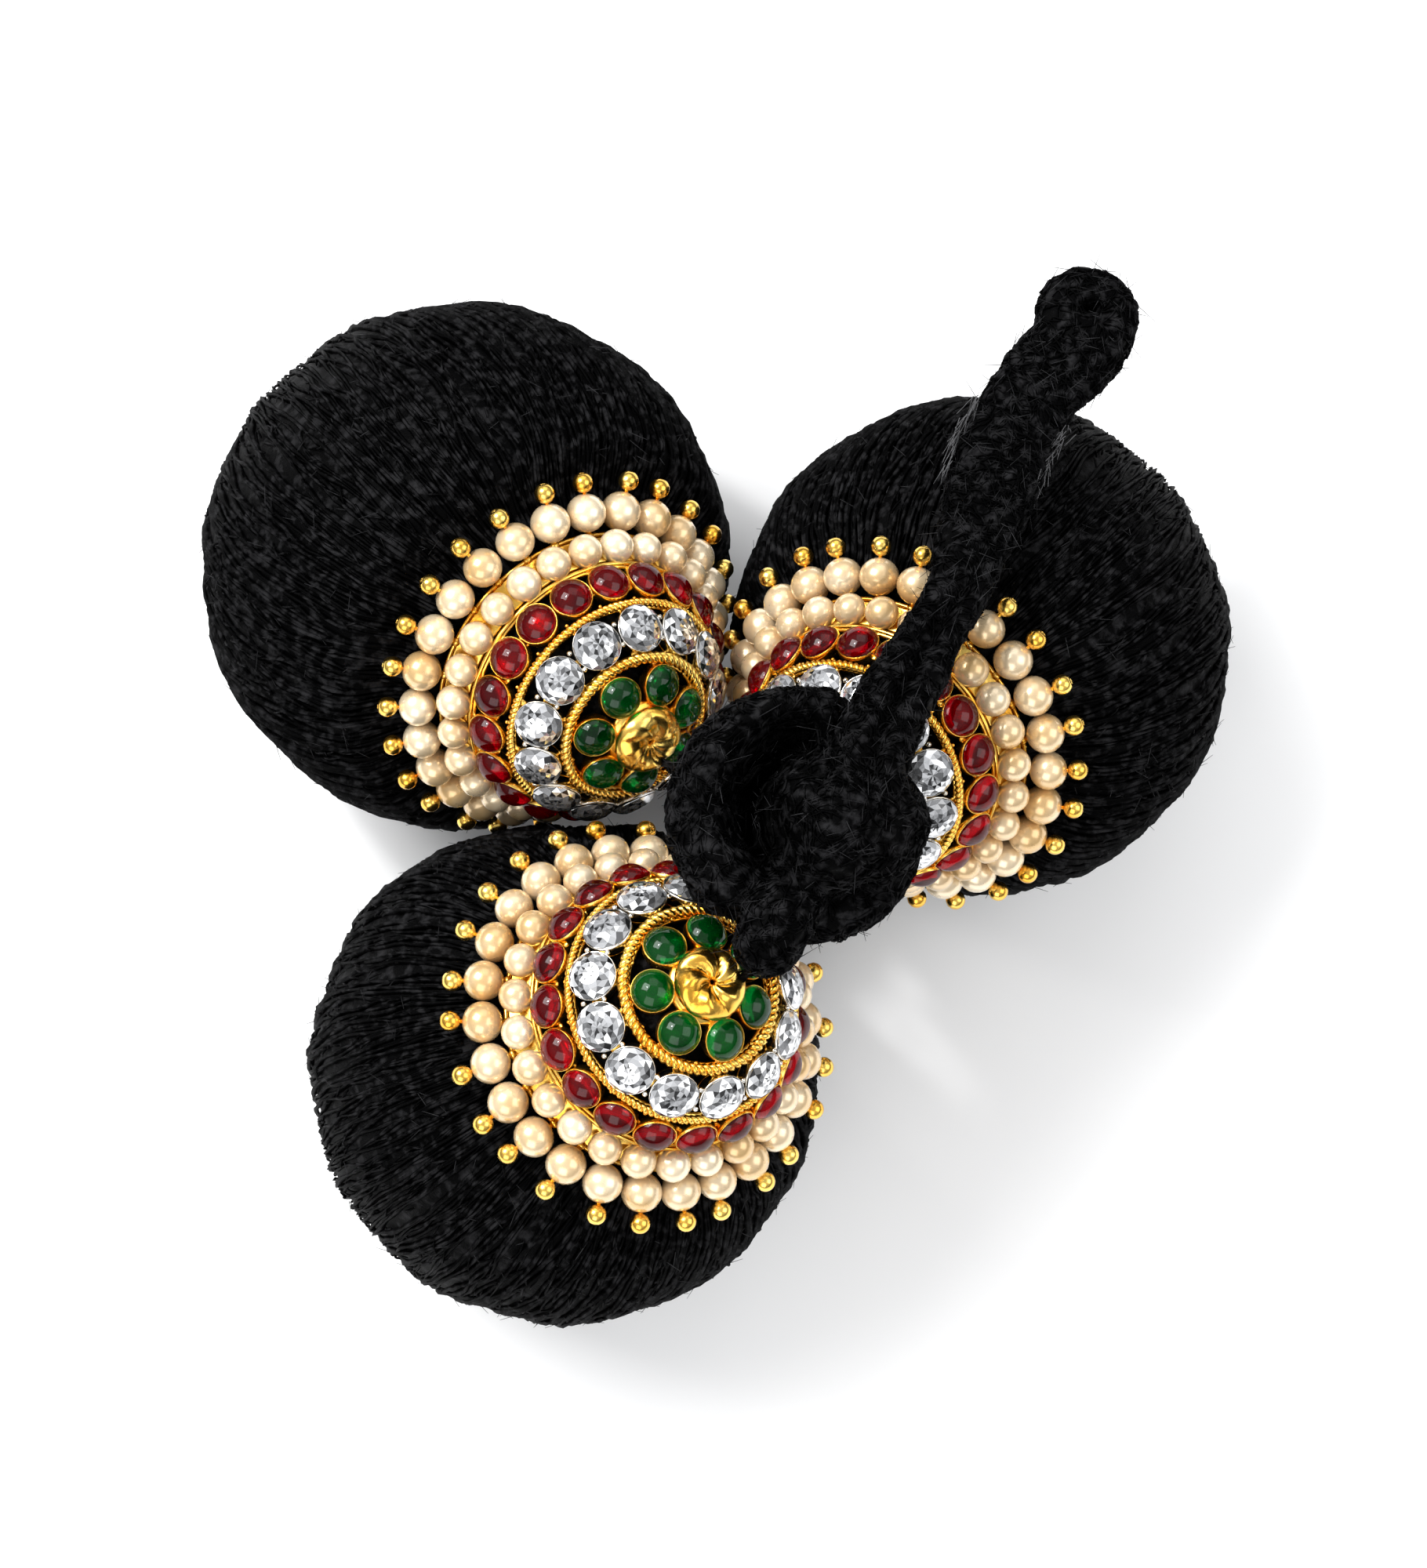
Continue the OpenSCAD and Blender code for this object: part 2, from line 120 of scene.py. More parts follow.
class Form:
    """Gathers the points and faces of one piece."""

    def __init__(self):
        self.points = []
        self.faces = []
        self.count = 0

    def add(self, points, faces):
        self.points.append(points)
        for group in faces:
            self.faces.extend((group + self.count).tolist())
        self.count += len(points)
        return self

    def build(self, name, material, slot, replaces=(), flat=False):
        mesh = bpy.data.meshes.new(name)
        mesh.from_pydata((np.vstack(self.points) * MM).tolist(), [], self.faces)
        mesh.update()
        mesh.polygons.foreach_set("use_smooth", [not flat] * len(mesh.polygons))
        mesh.materials.append(material)
        piece = bpy.data.objects.new(name, mesh)
        bpy.context.scene.collection.objects.link(piece)
        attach(piece, "root")
        if replaces:
            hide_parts(*replaces)
        return piece


def lathe(profile, sides, loop=False):
    """A profile of radius and height turned about +Z. A radius of 0 is a pole."""
    turns = np.arange(sides) * TAU / sides
    points = []
    rows = []
    for r, z in profile:
        start = len(points)
        if r == 0:
            points.append((0.0, 0.0, z))
            rows.append(np.full(sides, start))
        else:
            points.extend((r * math.cos(t), r * math.sin(t), z) for t in turns)
            rows.append(start + np.arange(sides))
    if loop:
        rows.append(rows[0])
    faces = []
    for low, high in zip(rows, rows[1:]):
        low_next, high_next = np.roll(low, -1), np.roll(high, -1)
        if low[0] == low[-1]:
            faces.append(np.stack([low, high_next, high], 1))
        elif high[0] == high[-1]:
            faces.append(np.stack([low, low_next, high], 1))
        else:
            faces.append(np.stack([low, low_next, high_next, high], 1))
    return np.array(points), faces


def bead(r, sides, rings, squash=1.0):
    angles = np.linspace(180, 0, rings + 1)
    profile = [(r * math.sin(math.radians(a)), squash * r * math.cos(math.radians(a))) for a in angles]
    profile[0] = (0, -r * squash)
    profile[-1] = (0, r * squash)
    return lathe(profile, sides)


def tubes(paths, radii, out, sides, closed=False):
    """Tubes along paths of shape (count, steps, 3). out leads away from the surface that they lie on."""
    count, steps = paths.shape[:2]
    if closed:
        along = np.roll(paths, -1, 1) - np.roll(paths, 1, 1)
    else:
        along = np.gradient(paths, axis=1)
    along = unit(along)
    up = unit(out - (out * along).sum(-1, keepdims=True) * along)
    side = np.cross(along, up)
    t = np.arange(sides) * TAU / sides
    ring = np.cos(t)[:, None] * up[:, :, None, :] + np.sin(t)[:, None] * side[:, :, None, :]
    points = paths[:, :, None, :] + ring * np.broadcast_to(radii, (count, steps))[:, :, None, None]
    index = np.arange(count * steps * sides).reshape(count, steps, sides)
    if closed:
        near, far = index, np.roll(index, -1, 1)
    else:
        near, far = index[:, :-1], index[:, 1:]
    quads = np.stack([near, far, np.roll(far, -1, 2), np.roll(near, -1, 2)], -1).reshape(-1, 4)
    faces = [quads]
    if not closed:
        faces.append(index[:, 0])
        faces.append(index[:, -1, ::-1])
    return points.reshape(-1, 3), faces


class Place:
    """A ball's frame: its centre, and its cap's seat, with the cap's axis as +Z."""

    def __init__(self, side):
        x, y, self.r, tilt, azimuth, self.seat = BALLS[side]
        self.side = side
        self.greens, self.whites, self.reds = TURNS[side]
        self.turn = turn_z(azimuth) @ turn_y(tilt)
        self.centre = PLAN + np.array([x, y, self.r - FLOOR_PRESS])

    def from_ball(self, points):
        return points @ self.turn.T + self.centre

    def from_seat(self, points):
        return self.from_ball(points + np.array([0, 0, self.seat]))


def on_dome(points, angle, turn, height):
    """Points of a small form with +Z up, set on the dome at an angle from its axis."""
    return (points + np.array([0, 0, height])) @ (turn_z(turn) @ turn_y(angle)).T


# Materials

# Names of what a piece's mesh carries for its material
GROOVE_SHADE = "groove_shade"
FACET_GLINT = "painted_facet_glint"


def socket(material, name):
    """A socket of the material's own shader."""
    return material.node_tree.nodes["Principled BSDF"].inputs[name]


def shader(name, base, **sockets):
    material = bpy.data.materials.new(name)
    material.use_nodes = True
    socket(material, "Base Color").default_value = (*base, 1)
    for key, value in sockets.items():
        socket(material, key.replace("_", " ")).default_value = value
    return material


def add_node(material, kind, **inputs):
    made = material.node_tree.nodes.new(kind)
    for key, value in inputs.items():
        made.inputs[key].default_value = value
    return made


def noise_at(material, scale, detail=3.0):
    """Noise that stays with the piece, at so many cells a metre."""
    place = material.node_tree.nodes.new("ShaderNodeTexCoord")
    noise = add_node(material, "ShaderNodeTexNoise", Scale=scale, Detail=detail)
    material.node_tree.links.new(place.outputs["Object"], noise.inputs["Vector"])
    return noise


def vary_color(material, noise, dark, light, low=0.35, high=0.65):
    ramp = material.node_tree.nodes.new("ShaderNodeValToRGB")
    ramp.color_ramp.elements[0].position = low
    ramp.color_ramp.elements[1].position = high
    ramp.color_ramp.elements[0].color = (*dark, 1)
    ramp.color_ramp.elements[1].color = (*light, 1)
    links = material.node_tree.links
    links.new(noise.outputs["Fac"], ramp.inputs["Fac"])
    links.new(ramp.outputs["Color"], socket(material, "Base Color"))


def vary_roughness(material, noise, low, high):
    spread = add_node(material, "ShaderNodeMapRange")
    spread.inputs["To Min"].default_value = low
    spread.inputs["To Max"].default_value = high
    links = material.node_tree.links
    links.new(noise.outputs["Fac"], spread.inputs["Value"])
    links.new(spread.outputs["Result"], socket(material, "Roughness"))


def bump(material, noise, strength, depth):
    made = add_node(material, "ShaderNodeBump", Strength=strength, Distance=depth)
    links = material.node_tree.links
    links.new(noise.outputs["Fac"], made.inputs["Height"])
    links.new(made.outputs["Normal"], socket(material, "Normal"))


def shaded_by(material, name):
    """Darkens a colour by a piece's own shade. A piece without that shade keeps its colour."""
    nodes, links = material.node_tree.nodes, material.node_tree.links
    base = socket(material, "Base Color")
    color = base.links[0].from_socket
    shade = nodes.new("ShaderNodeAttribute")
    shade.attribute_name = name
    rest = nodes.new("ShaderNodeMath")
    rest.operation = "SUBTRACT"
    rest.inputs[0].default_value = 1.0
    scaled = nodes.new("ShaderNodeVectorMath")
    scaled.operation = "SCALE"
    links.new(shade.outputs["Fac"], rest.inputs[1])
    links.new(color, scaled.inputs[0])
    links.new(rest.outputs[0], scaled.inputs["Scale"])
    links.new(scaled.outputs[0], base)


def wool_material():
    m = shader("black_wool", (0.004, 0.004, 0.005), Roughness=0.6, Specular_IOR_Level=0.03)
    # Random tone of the wool. Its light dashes are also painted glints of the twisted yarn, with the
    # shine itself kept low.
    vary_color(m, noise_at(m, 900.0), (0.0003, 0.0003, 0.0004), (0.0155, 0.0153, 0.0163), 0.48, 0.68)
    shaded_by(m, GROOVE_SHADE)
    bump(m, noise_at(m, 5200.0, 4.0), 0.5, 0.00012)
    return m


def fuzz_material():
    m = shader("wool_fuzz", (0.01, 0.01, 0.011), Roughness=0.7, Specular_IOR_Level=0.1)
    vary_color(m, noise_at(m, 400.0), (0.004, 0.004, 0.0045), (0.032, 0.032, 0.034))
    return m


def highlight_hair_material():
    # A colour lighter than the wool: the painted highlight of lit fibres at the strap's edges.
    m = shader("painted_highlight_wool", (0.06, 0.06, 0.064), Roughness=0.6)
    vary_color(m, noise_at(m, 500.0), (0.02, 0.02, 0.022), (0.1, 0.1, 0.105))
    return m


def gold_material():
    m = shader("gold_plate", (0.95, 0.6, 0.12), Metallic=1.0, Roughness=0.2)
    vary_color(m, noise_at(m, 260.0), (0.88, 0.45, 0.05), (1.0, 0.69, 0.17))
    vary_roughness(m, noise_at(m, 900.0), 0.14, 0.34)
    bump(m, noise_at(m, 1500.0), 0.3, 0.00008)
    return m


def silver_material():
    m = shader("silver_plate", (0.8, 0.78, 0.74), Metallic=1.0, Roughness=0.16)
    vary_color(m, noise_at(m, 700.0), (0.6, 0.55, 0.46), (0.92, 0.91, 0.9))
    vary_roughness(m, noise_at(m, 1200.0), 0.1, 0.25)
    return m


def stone_material(name, dark, light):
    m = shader(name, light, Roughness=0.02, IOR=1.38, Transmission_Weight=0.85, Specular_IOR_Level=0.18)
    vary_color(m, noise_at(m, 260.0), dark, light, 0.3, 0.7)
    return m


def crystal_material():
    """Cut glass over silver foil, as a mirror-like metal: each facet carries a painted brightness, light
    facets as painted glints and dark ones as painted dark reflections.
    """
    coat = {"Coat_Weight": 0.5, "Coat_Roughness": 0.02}
    m = shader("cut_crystal", (0.9, 0.9, 0.92), Metallic=0.8, Roughness=0.06, **coat)
    glint = m.node_tree.nodes.new("ShaderNodeAttribute")
    glint.attribute_name = FACET_GLINT
    m.node_tree.links.new(glint.outputs["Color"], socket(m, "Base Color"))
    vary_roughness(m, noise_at(m, 800.0), 0.04, 0.14)
    return m


def pearl_material():
    coat = {"Coat_Weight": 0.8, "Coat_Roughness": 0.05}
    m = shader("pearl_lustre", (0.86, 0.72, 0.5), Metallic=0.45, Roughness=0.24, **coat)
    vary_color(m, noise_at(m, 170.0, 2.0), (0.7, 0.46, 0.2), (0.9, 0.76, 0.54))
    vary_roughness(m, noise_at(m, 500.0), 0.2, 0.36)
    return m


wool = wool_material()
fuzz = fuzz_material()
pale = highlight_hair_material()
gold = gold_material()
silver = silver_material()
green_glass = stone_material("green_glass", (0.0, 0.06, 0.008), (0.002, 0.28, 0.035))
red_glass = stone_material("red_glass", (0.13, 0.0, 0.002), (0.42, 0.0, 0.004))
crystal = crystal_material()
pearl = pearl_material()


# Wool balls

# The core lies this far under the ball's surface
CORE_DEPTH = 0.35
# Strands, tufts and loose hairs: how many on a ball, and points in each
STRAND_N, STRAND_STEPS = 310, 38
TUFT_N, TUFT_STEPS = 1450, 5
BALL_HAIR_N, HAIR_STEPS = 550, 4
# Heights above the floor that the core and the strands keep
CORE_CLEAR, STRAND_CLEAR = 0.06, 0.02
# Where strands start and end, as angles from the cap's axis, and how high they lie
STRAND_START, STRAND_END, STRAND_LIE = (30, 47), (158, 176), (-0.32, 0.02)
STRAND_R, STRAND_SWELL = 0.27, 0.09
# Waves along the strands, as cycles and size: sideways in degrees, in and out, and in thickness
DRIFT_WAVES, LIFT_WAVES, SWELL_WAVES = ((1, 2, 5, 9), 1.5), ((3, 7, 13), 0.25), ((9, 17, 23), 9.0)
# Tufts: cosines of the angles that they lie between, their run in degrees, and their arch and radius
TUFT_BAND, TUFT_RUN = (-0.93, 0.72), (2.0, 5.5)
TUFT_ARCH, TUFT_SINK, TUFT_R, TUFT_SWELL = 0.16, 0.12, 0.1, 0.06
# Loose hairs of a ball: cosines of their angles, length, and how steeply they stand
BALL_HAIR_BAND, BALL_HAIR_L, BALL_HAIR_STAND = (-0.9, 0.66), (0.6, 2.2), (0.15, 0.5)


def pressed_r(place):
    """The ball's radius where it is pressed flat under the outer pearls."""
    return math.hypot(OUTER_ROW[0], place.seat + OUTER_ROW[1]) - OUTER_PEARL_R - PEARL_CLEAR


def ball_radius(place, angle, turn):
    """The ball's radius at an angle from its cap's axis, as the solid has it."""
    pressed = pressed_r(place)
    r = pressed + (place.r - pressed) * smooth((angle - PRESS_ANGLE) / (FULL_ANGLE - PRESS_ANGLE))
    lobes = LOBE_H * np.cos(np.radians(LOBE_N * turn)) * smooth((angle - FULL_ANGLE) / LOBE_FADE)
    dent_angle, dent_turn, depth = DENTS[place.side]
    off = np.degrees(np.arccos(np.clip(toward(angle, turn) @ toward(dent_angle, dent_turn), -1, 1)))
    dent = depth * smooth((DENT_EDGE - off) / (DENT_EDGE - DENT_FLAT))
    return r + lobes * np.sin(np.radians(angle)) - dent


def on_floor(points, clear):
    """Points kept above the floor that the ball lies on."""
    points[..., 2] = np.maximum(points[..., 2], clear)
    return points


def wander(rng, count, steps, cycles, size):
    """Smooth random offsets along each of a number of strands, made of waves of so many cycles."""
    s = np.linspace(0, 1, steps)
    total = np.zeros((count, steps))
    for c in cycles:
        phase = rng.uniform(0, TAU, (count, 1))
        total += rng.normal(0, size / c, (count, 1)) * np.sin(TAU * c * s + phase)
    return total


def ball_core(place):
    """The dark wool under the strands, with the neck inside the cap."""
    sides, rings = 72, 40
    turns = np.arange(sides) * 360 / sides
    neck = math.degrees(math.atan2(NECK_R, place.seat - 1))
    neck_foot = np.array([0, 0, place.seat])
    points = []
    for angle in np.linspace(178, neck, rings):
        r = ball_radius(place, np.full(sides, angle), turns) - CORE_DEPTH
        points.append(toward(angle, turns) * r[:, None])
    for angle in np.linspace(88, 4, 10):
        points.append(toward(angle, turns) * (NECK_R - 0.1) + neck_foot)
    rows = [np.arange(sides) + k * sides for k in range(len(points))]
    faces = [np.stack([a, np.roll(a, -1), np.roll(b, -1), b], 1) for a, b in zip(rows, rows[1:])]
    faces += [rows[0][None, ::-1], rows[-1][None]]
    return on_floor(place.from_ball(np.vstack(points)), CORE_CLEAR), faces


def ball_strands(place, rng):
    """Strands of yarn that run from under the pearls round to the far side."""
    count, steps = STRAND_N, STRAND_STEPS
    s = np.linspace(0, 1, steps)
    start = rng.uniform(*STRAND_START, (count, 1))
    end = rng.uniform(*STRAND_END, (count, 1))
    angle = start + (end - start) * s
    turn = np.arange(count)[:, None] * 360 / count + rng.uniform(-0.6, 0.6, (count, 1))
    turn = turn + wander(rng, count, steps, *DRIFT_WAVES)
    turn = turn + rng.normal(0, 1.6, (count, 1)) * (s - 0.4)
    lift = rng.uniform(*STRAND_LIE, (count, 1)) + wander(rng, count, steps, *LIFT_WAVES)
    directions = toward(angle, turn)
    paths = directions * (ball_radius(place, angle, turn) + lift)[..., None]
    radii = STRAND_R + STRAND_SWELL * np.clip(wander(rng, count, steps, *SWELL_WAVES), -1, 1)
    points, faces = tubes(paths, radii, directions, 3)
    return on_floor(place.from_ball(points), STRAND_CLEAR), faces


def ball_tufts(place, rng):
    """Short locks over the strands, which break up the lines as combed wool does."""
    count, steps = TUFT_N, TUFT_STEPS
    s = np.linspace(0, 1, steps)
    angle = np.degrees(np.arccos(rng.uniform(*TUFT_BAND, (count, 1))))
    angle = angle + s * rng.uniform(*TUFT_RUN, (count, 1))
    turn = rng.uniform(0, 360, (count, 1)) + rng.normal(0, 1.3, (count, 1)) * (s - 0.5)
    directions = toward(angle, turn)
    arch = np.sin(np.linspace(0, math.pi, steps))
    lift = TUFT_ARCH * arch - TUFT_SINK + rng.uniform(-0.05, 0.1, (count, 1))
    paths = directions * (ball_radius(place, angle, turn) + lift)[..., None]
    points, faces = tubes(paths, TUFT_R + TUFT_SWELL * arch, directions, 3)
    return on_floor(place.from_ball(points), STRAND_CLEAR), faces


def ball_fuzz(place, rng):
    """Fine loose hairs that stand off the ball."""
    count, steps = BALL_HAIR_N, HAIR_STEPS
    angle = np.degrees(np.arccos(rng.uniform(*BALL_HAIR_BAND, (count, 1))))
    turn = rng.uniform(0, 360, (count, 1))
    directions = toward(angle, turn)
    s = np.linspace(0, 1, steps)[:, None]
    sideways = unit(np.cross(directions, rng.normal(size=(count, 1, 3))))
    length = rng.uniform(*BALL_HAIR_L, (count, 1, 1))
    stand = rng.uniform(*BALL_HAIR_STAND, (count, 1, 1))
    r = ball_radius(place, angle, turn)[..., None]
    paths = directions * (r - 0.1 + stand * length * s) + sideways * length * s
    points, faces = tubes(paths, np.linspace(*HAIR_R, steps), np.cross(sideways, directions), 3)
    return on_floor(place.from_ball(points), STRAND_CLEAR), faces


def dress_ball(place, seed):
    """A ball's wool: core, strands and tufts as one piece, and its loose hairs as another."""
    rng = np.random.default_rng(seed)
    body = Form()
    body.add(*ball_core(place))
    body.add(*ball_strands(place, rng))
    body.add(*ball_tufts(place, rng))
    piece = body.build(f"ball_{place.side}_wool", wool, "wool", [f"ball_{place.side}"])
    Form().add(*ball_fuzz(place, rng)).build(f"ball_{place.side}_fuzz", fuzz, "wool")


# Caps

# The pierced sheet's grid, and the angles from the axis where it begins and ends
SHEET_RINGS, SHEET_SIDES = 50, 168
SHEET_LOW, SHEET_HIGH = 11.5, 78.6
# How far the sheet reaches round each green, white and red stone, and an edge point's furthest move
GREEN_LAND, WHITE_LAND, RED_LAND = 2.0, 2.2, 1.98
EDGE_MOVE = 0.3
# Whole rings of the sheet, under the wires and round the finial: angle and half width
SHEET_BANDS = ((TWIST_INNER, 0.5), (TWIST_OUTER, 0.3), (SMOOTH_WIRE, 0.26), (SHEET_LOW, 0.75))
# The wires: strand radius, and for the twisted ones how many twists and points
INNER_TWIST = (0.32, 34, 340)
OUTER_TWIST = (0.24, 62, 500)
SMOOTH_WIRE_R = 0.22
TWIST_LIFT, SMOOTH_LIFT = 0.35, 0.2
# Where the two strands lie about the twisted wire's middle, in strand radii
TWIST_SPREAD = 0.9
BEZEL_ROOT = -0.35
# Grains of gold: angle from the axis and radius, and their height above the dome
GREEN_GRAINS = (31.4, 0.26)
RED_GRAINS = (59.0, 0.2)
GRAIN_LIFT = 0.1
# How many sides round forms have: the band, a setting, a domed stone and the finial
BAND_SIDES, SETTING_SIDES, STONE_SIDES, FINIAL_SIDES = 120, 28, 26, 96


def dome_sheet(place):
    """The pierced sheet: a shell on a fine grid, open between the stones, with smooth round edges."""
    rings, sides = SHEET_RINGS, SHEET_SIDES
    low, high = SHEET_LOW, SHEET_HIGH
    angles = np.repeat(np.linspace(low, high, rings), sides)
    turns = np.tile(np.arange(sides) * 360 / sides, rings)
    lands = []
    rows = (
        (GREEN_ANGLE, GREEN_N, place.greens, GREEN_LAND),
        (WHITE_ANGLE, WHITE_N, place.whites, WHITE_LAND),
        (RED_ANGLE, RED_N, place.reds, RED_LAND),
    )
    for angle, n, turn, land in rows:
        lands += [(toward(angle, turn + k * 360 / n), land) for k in range(n)]
    spots = toward(angles, turns)
    offs = [DOME_R * np.arccos(np.clip(spots @ d, -1, 1)) - land for d, land in lands]
    offs += [np.abs(angles - a) * math.pi / 180 * DOME_R - w for a, w in SHEET_BANDS]
    offs = np.array(offs)
    kept = offs.min(0) < 0
    index = np.arange(rings * sides).reshape(rings, sides)
    inside, outside = index[:-1], index[1:]
    quads = np.stack([inside, np.roll(inside, -1, 1), np.roll(outside, -1, 1), outside], -1)
    quads = quads.reshape(-1, 4)[:, ::-1]
    quads = quads[kept[quads].sum(1) >= 3]
    edges = np.concatenate([quads[:, [a, b]] for a, b in ((0, 1), (1, 2), (2, 3), (3, 0))])
    ordered = np.sort(edges, 1)
    _, first, times = np.unique(ordered, axis=0, return_index=True, return_counts=True)
    rim = edges[first[times == 1]]
    for v in np.unique(rim):
        if angles[v] in (low, high):
            continue
        nearest = np.argmin(np.abs(offs[:, v]))
        if abs(offs[nearest, v]) > EDGE_MOVE:
            continue
        if nearest < len(lands):
            centre, land = lands[nearest]
            away = unit(spots[v] - (spots[v] @ centre) * centre)
            spots[v] = centre * math.cos(land / DOME_R) + away * math.sin(land / DOME_R)
        else:
            a, w = SHEET_BANDS[nearest - len(lands)]
            edge = a + math.copysign(math.degrees(w / DOME_R), angles[v] - a)
            spots[v] = toward(edge, turns[v])
    n = len(spots)
    points = np.vstack([spots * DOME_R, spots * (DOME_R - DOME_WALL)])
    walls = np.stack([rim[:, 1], rim[:, 0], rim[:, 0] + n, rim[:, 1] + n], 1)
    groups = [quads, quads[:, ::-1] + n, walls]
    used = np.unique(np.concatenate([g.ravel() for g in groups]))
    renumber = np.zeros(len(points), int)
    renumber[used] = np.arange(len(used))
    return points[used], [renumber[g] for g in groups]


def rim_band():
    """The plain band under the pierced sheet, with the flange that carries the pearls."""
    inner = DOME_R - DOME_WALL
    top = 2.15
    flange = [(13.9, -0.9), (13.95, -0.7), (13.9, -0.5)]
    profile = [(inner, -0.9), *flange, (DOME_R, -0.45), (DOME_R, top), (inner, top)]
    return lathe(profile, BAND_SIDES, loop=True)


def twisted_wire(angle, strand_r, turns_n, points_n):
    """Two strands twisted round each other along a ring on the dome."""
    t = np.linspace(0, TAU, points_n, endpoint=False)
    out = toward(angle, np.degrees(t))
    across = toward(angle + 90, np.degrees(t))
    spread = strand_r * TWIST_SPREAD
    strands = []
    for phase in (0, math.pi):
        a = turns_n * t + phase
        height = DOME_R + TWIST_LIFT + spread * np.cos(a)
        strands.append(out * height[:, None] + across * (spread * np.sin(a))[:, None])
    paths = np.array(strands)
    return tubes(paths, np.full(paths.shape[:2], strand_r), np.array([out, out]), 6, closed=True)


def smooth_wire(angle, r):
    """A plain round wire along a ring on the dome."""
    steps = 150
    out = toward(angle, np.linspace(0, 360, steps, endpoint=False))[None]
    return tubes(out * (DOME_R + SMOOTH_LIFT), np.full((1, steps), r), out, 8, closed=True)


def bezel(inner, outer, height, root):
    """A stone's thin round wall, with its lip turned over the stone."""
    mid = (inner + outer) / 2
    profile = [
        (inner, root), (outer, root), (outer, height * 0.8), (outer - 0.03, height * 0.94),
        (mid, height), (inner - 0.02, height * 0.95), (inner, height * 0.8),
    ]
    return lathe(profile, SETTING_SIDES, loop=True)


# The finial's outline: radius, height, and how strongly the petals and creases fold it
FINIAL = [
    (2.3, 12.0, 0.0), (3.45, 12.1, 0.0), (3.62, 12.35, 0.0), (3.6, 12.7, 0.0), (3.4, 12.95, 0.0),
    (3.1, 13.05, 0.0), (3.05, 13.2, 0.0), (3.3, 13.35, 0.0), (3.45, 13.65, 0.1), (3.4, 14.0, 0.25),
    (3.2, 14.35, 0.5), (2.85, 14.7, 0.8), (2.4, 14.95, 1.0), (1.95, 15.05, 1.1), (1.5, 15.0, 1.1),
    (1.1, 14.85, 1.0), (0.75, 14.7, 0.8), (0.45, 14.6, 0.5), (0.25, 14.4, 0.0), (0.25, 13.4, 0.0),
    (1.0, 12.6, 0.0), (2.0, 12.0, 0.0),
]
PETAL_N = 5


def finial(rng):
    """The gold cup on the top, with a turned collar and five petals folded in over its middle."""
    sides = FINIAL_SIDES
    t = np.arange(sides) * TAU / sides
    lean = rng.uniform(0, TAU)
    points = []
    for r, z, fold in FINIAL:
        swirl = t + 0.8 * (1 - r / 3.4)
        petals = np.abs(np.sin(PETAL_N / 2 * swirl + lean)) ** 0.5
        creases = 0.6 * np.sin(5 * swirl + 1.3 * lean) + 0.4 * np.sin(11 * swirl + 2.2)
        radius = r + fold * (0.4 * (petals - 0.6) + 0.1 * creases) * min(1.0, r / 2.2)
        height = z + fold * (0.6 * (petals - 0.8) + 0.12 * creases)
        points.append(np.stack([radius * np.cos(t), radius * np.sin(t), height], -1))
    rows = [np.arange(sides) + k * sides for k in range(len(FINIAL))]
    rows.append(rows[0])
    faces = [np.stack([a, np.roll(a, -1), np.roll(b, -1), b], 1) for a, b in zip(rows, rows[1:])]
    return np.vstack(points), faces


def on_rows(place, form, shape, angle, n, turn, height, spin=None):
    """Sets a form at each place of a ring on the dome, each turned by its own spin where there is one."""
    for k in range(n):
        points, faces = shape
        if spin is not None:
            points = points @ turn_z(spin[k]).T
        form.add(place.from_seat(on_dome(points, angle, turn + k * 360 / n, height)), faces)


def dress_gold(place, rng):
    """The gold of one cap: sheet, band, wires, finial, settings and the grains between them."""
    form = Form()
    parts = (
        dome_sheet(place), rim_band(), twisted_wire(TWIST_INNER, *INNER_TWIST),
        twisted_wire(TWIST_OUTER, *OUTER_TWIST), smooth_wire(SMOOTH_WIRE, SMOOTH_WIRE_R), finial(rng),
    )
    for points, faces in parts:
        form.add(place.from_seat(points), faces)
    setting = bezel(BEZEL_IN, BEZEL_OUT, BEZEL_H, BEZEL_ROOT)
    on_rows(place, form, setting, GREEN_ANGLE, GREEN_N, place.greens, DOME_R)
    on_rows(place, form, setting, RED_ANGLE, RED_N, place.reds, DOME_R)
    for (angle, r), n, turn in ((RED_GRAINS, RED_N, place.reds), (GREEN_GRAINS, GREEN_N, place.greens)):
        on_rows(place, form, bead(r, 9, 6), angle, n, turn + 180 / n, DOME_R + GRAIN_LIFT)
    form.build(f"cap_{place.side}_gold", gold, "gold", [f"cap_{place.side}_dome"])


def cabochon():
    """A domed stone, with a low straight edge."""
    edge = CABOCHON_EDGE
    crown = CABOCHON_H - edge
    r = (CABOCHON_R ** 2 + crown ** 2) / (2 * crown)
    half = math.asin(CABOCHON_R / r)
    profile = [(0, 0.0), (CABOCHON_R - 0.08, 0.0), (CABOCHON_R, 0.08), (CABOCHON_R, edge - 0.05)]
    for a in np.linspace(half, 0, 8):
        profile.append((r * math.sin(a) if a else 0, CABOCHON_H - r + r * math.cos(a)))
    return lathe(profile, STONE_SIDES)


# A cut stone: how many facets go round, the height of its table, the depth of its point,
# and its rings of corners as radius, height and the share of a facet that they are turned by
FACET_N = 14
TABLE_H, POINT_H = 0.86, -0.95
CUT_RINGS = [
    (0.55, TABLE_H, 0), (1.05, 0.82, 0.5), (1.5, 0.66, 0), (1.92, 0.4, 0.5),
    (CUT_R, 0.08, 0), (CUT_R, -0.04, 0), (1.1, -0.6, 0),
]


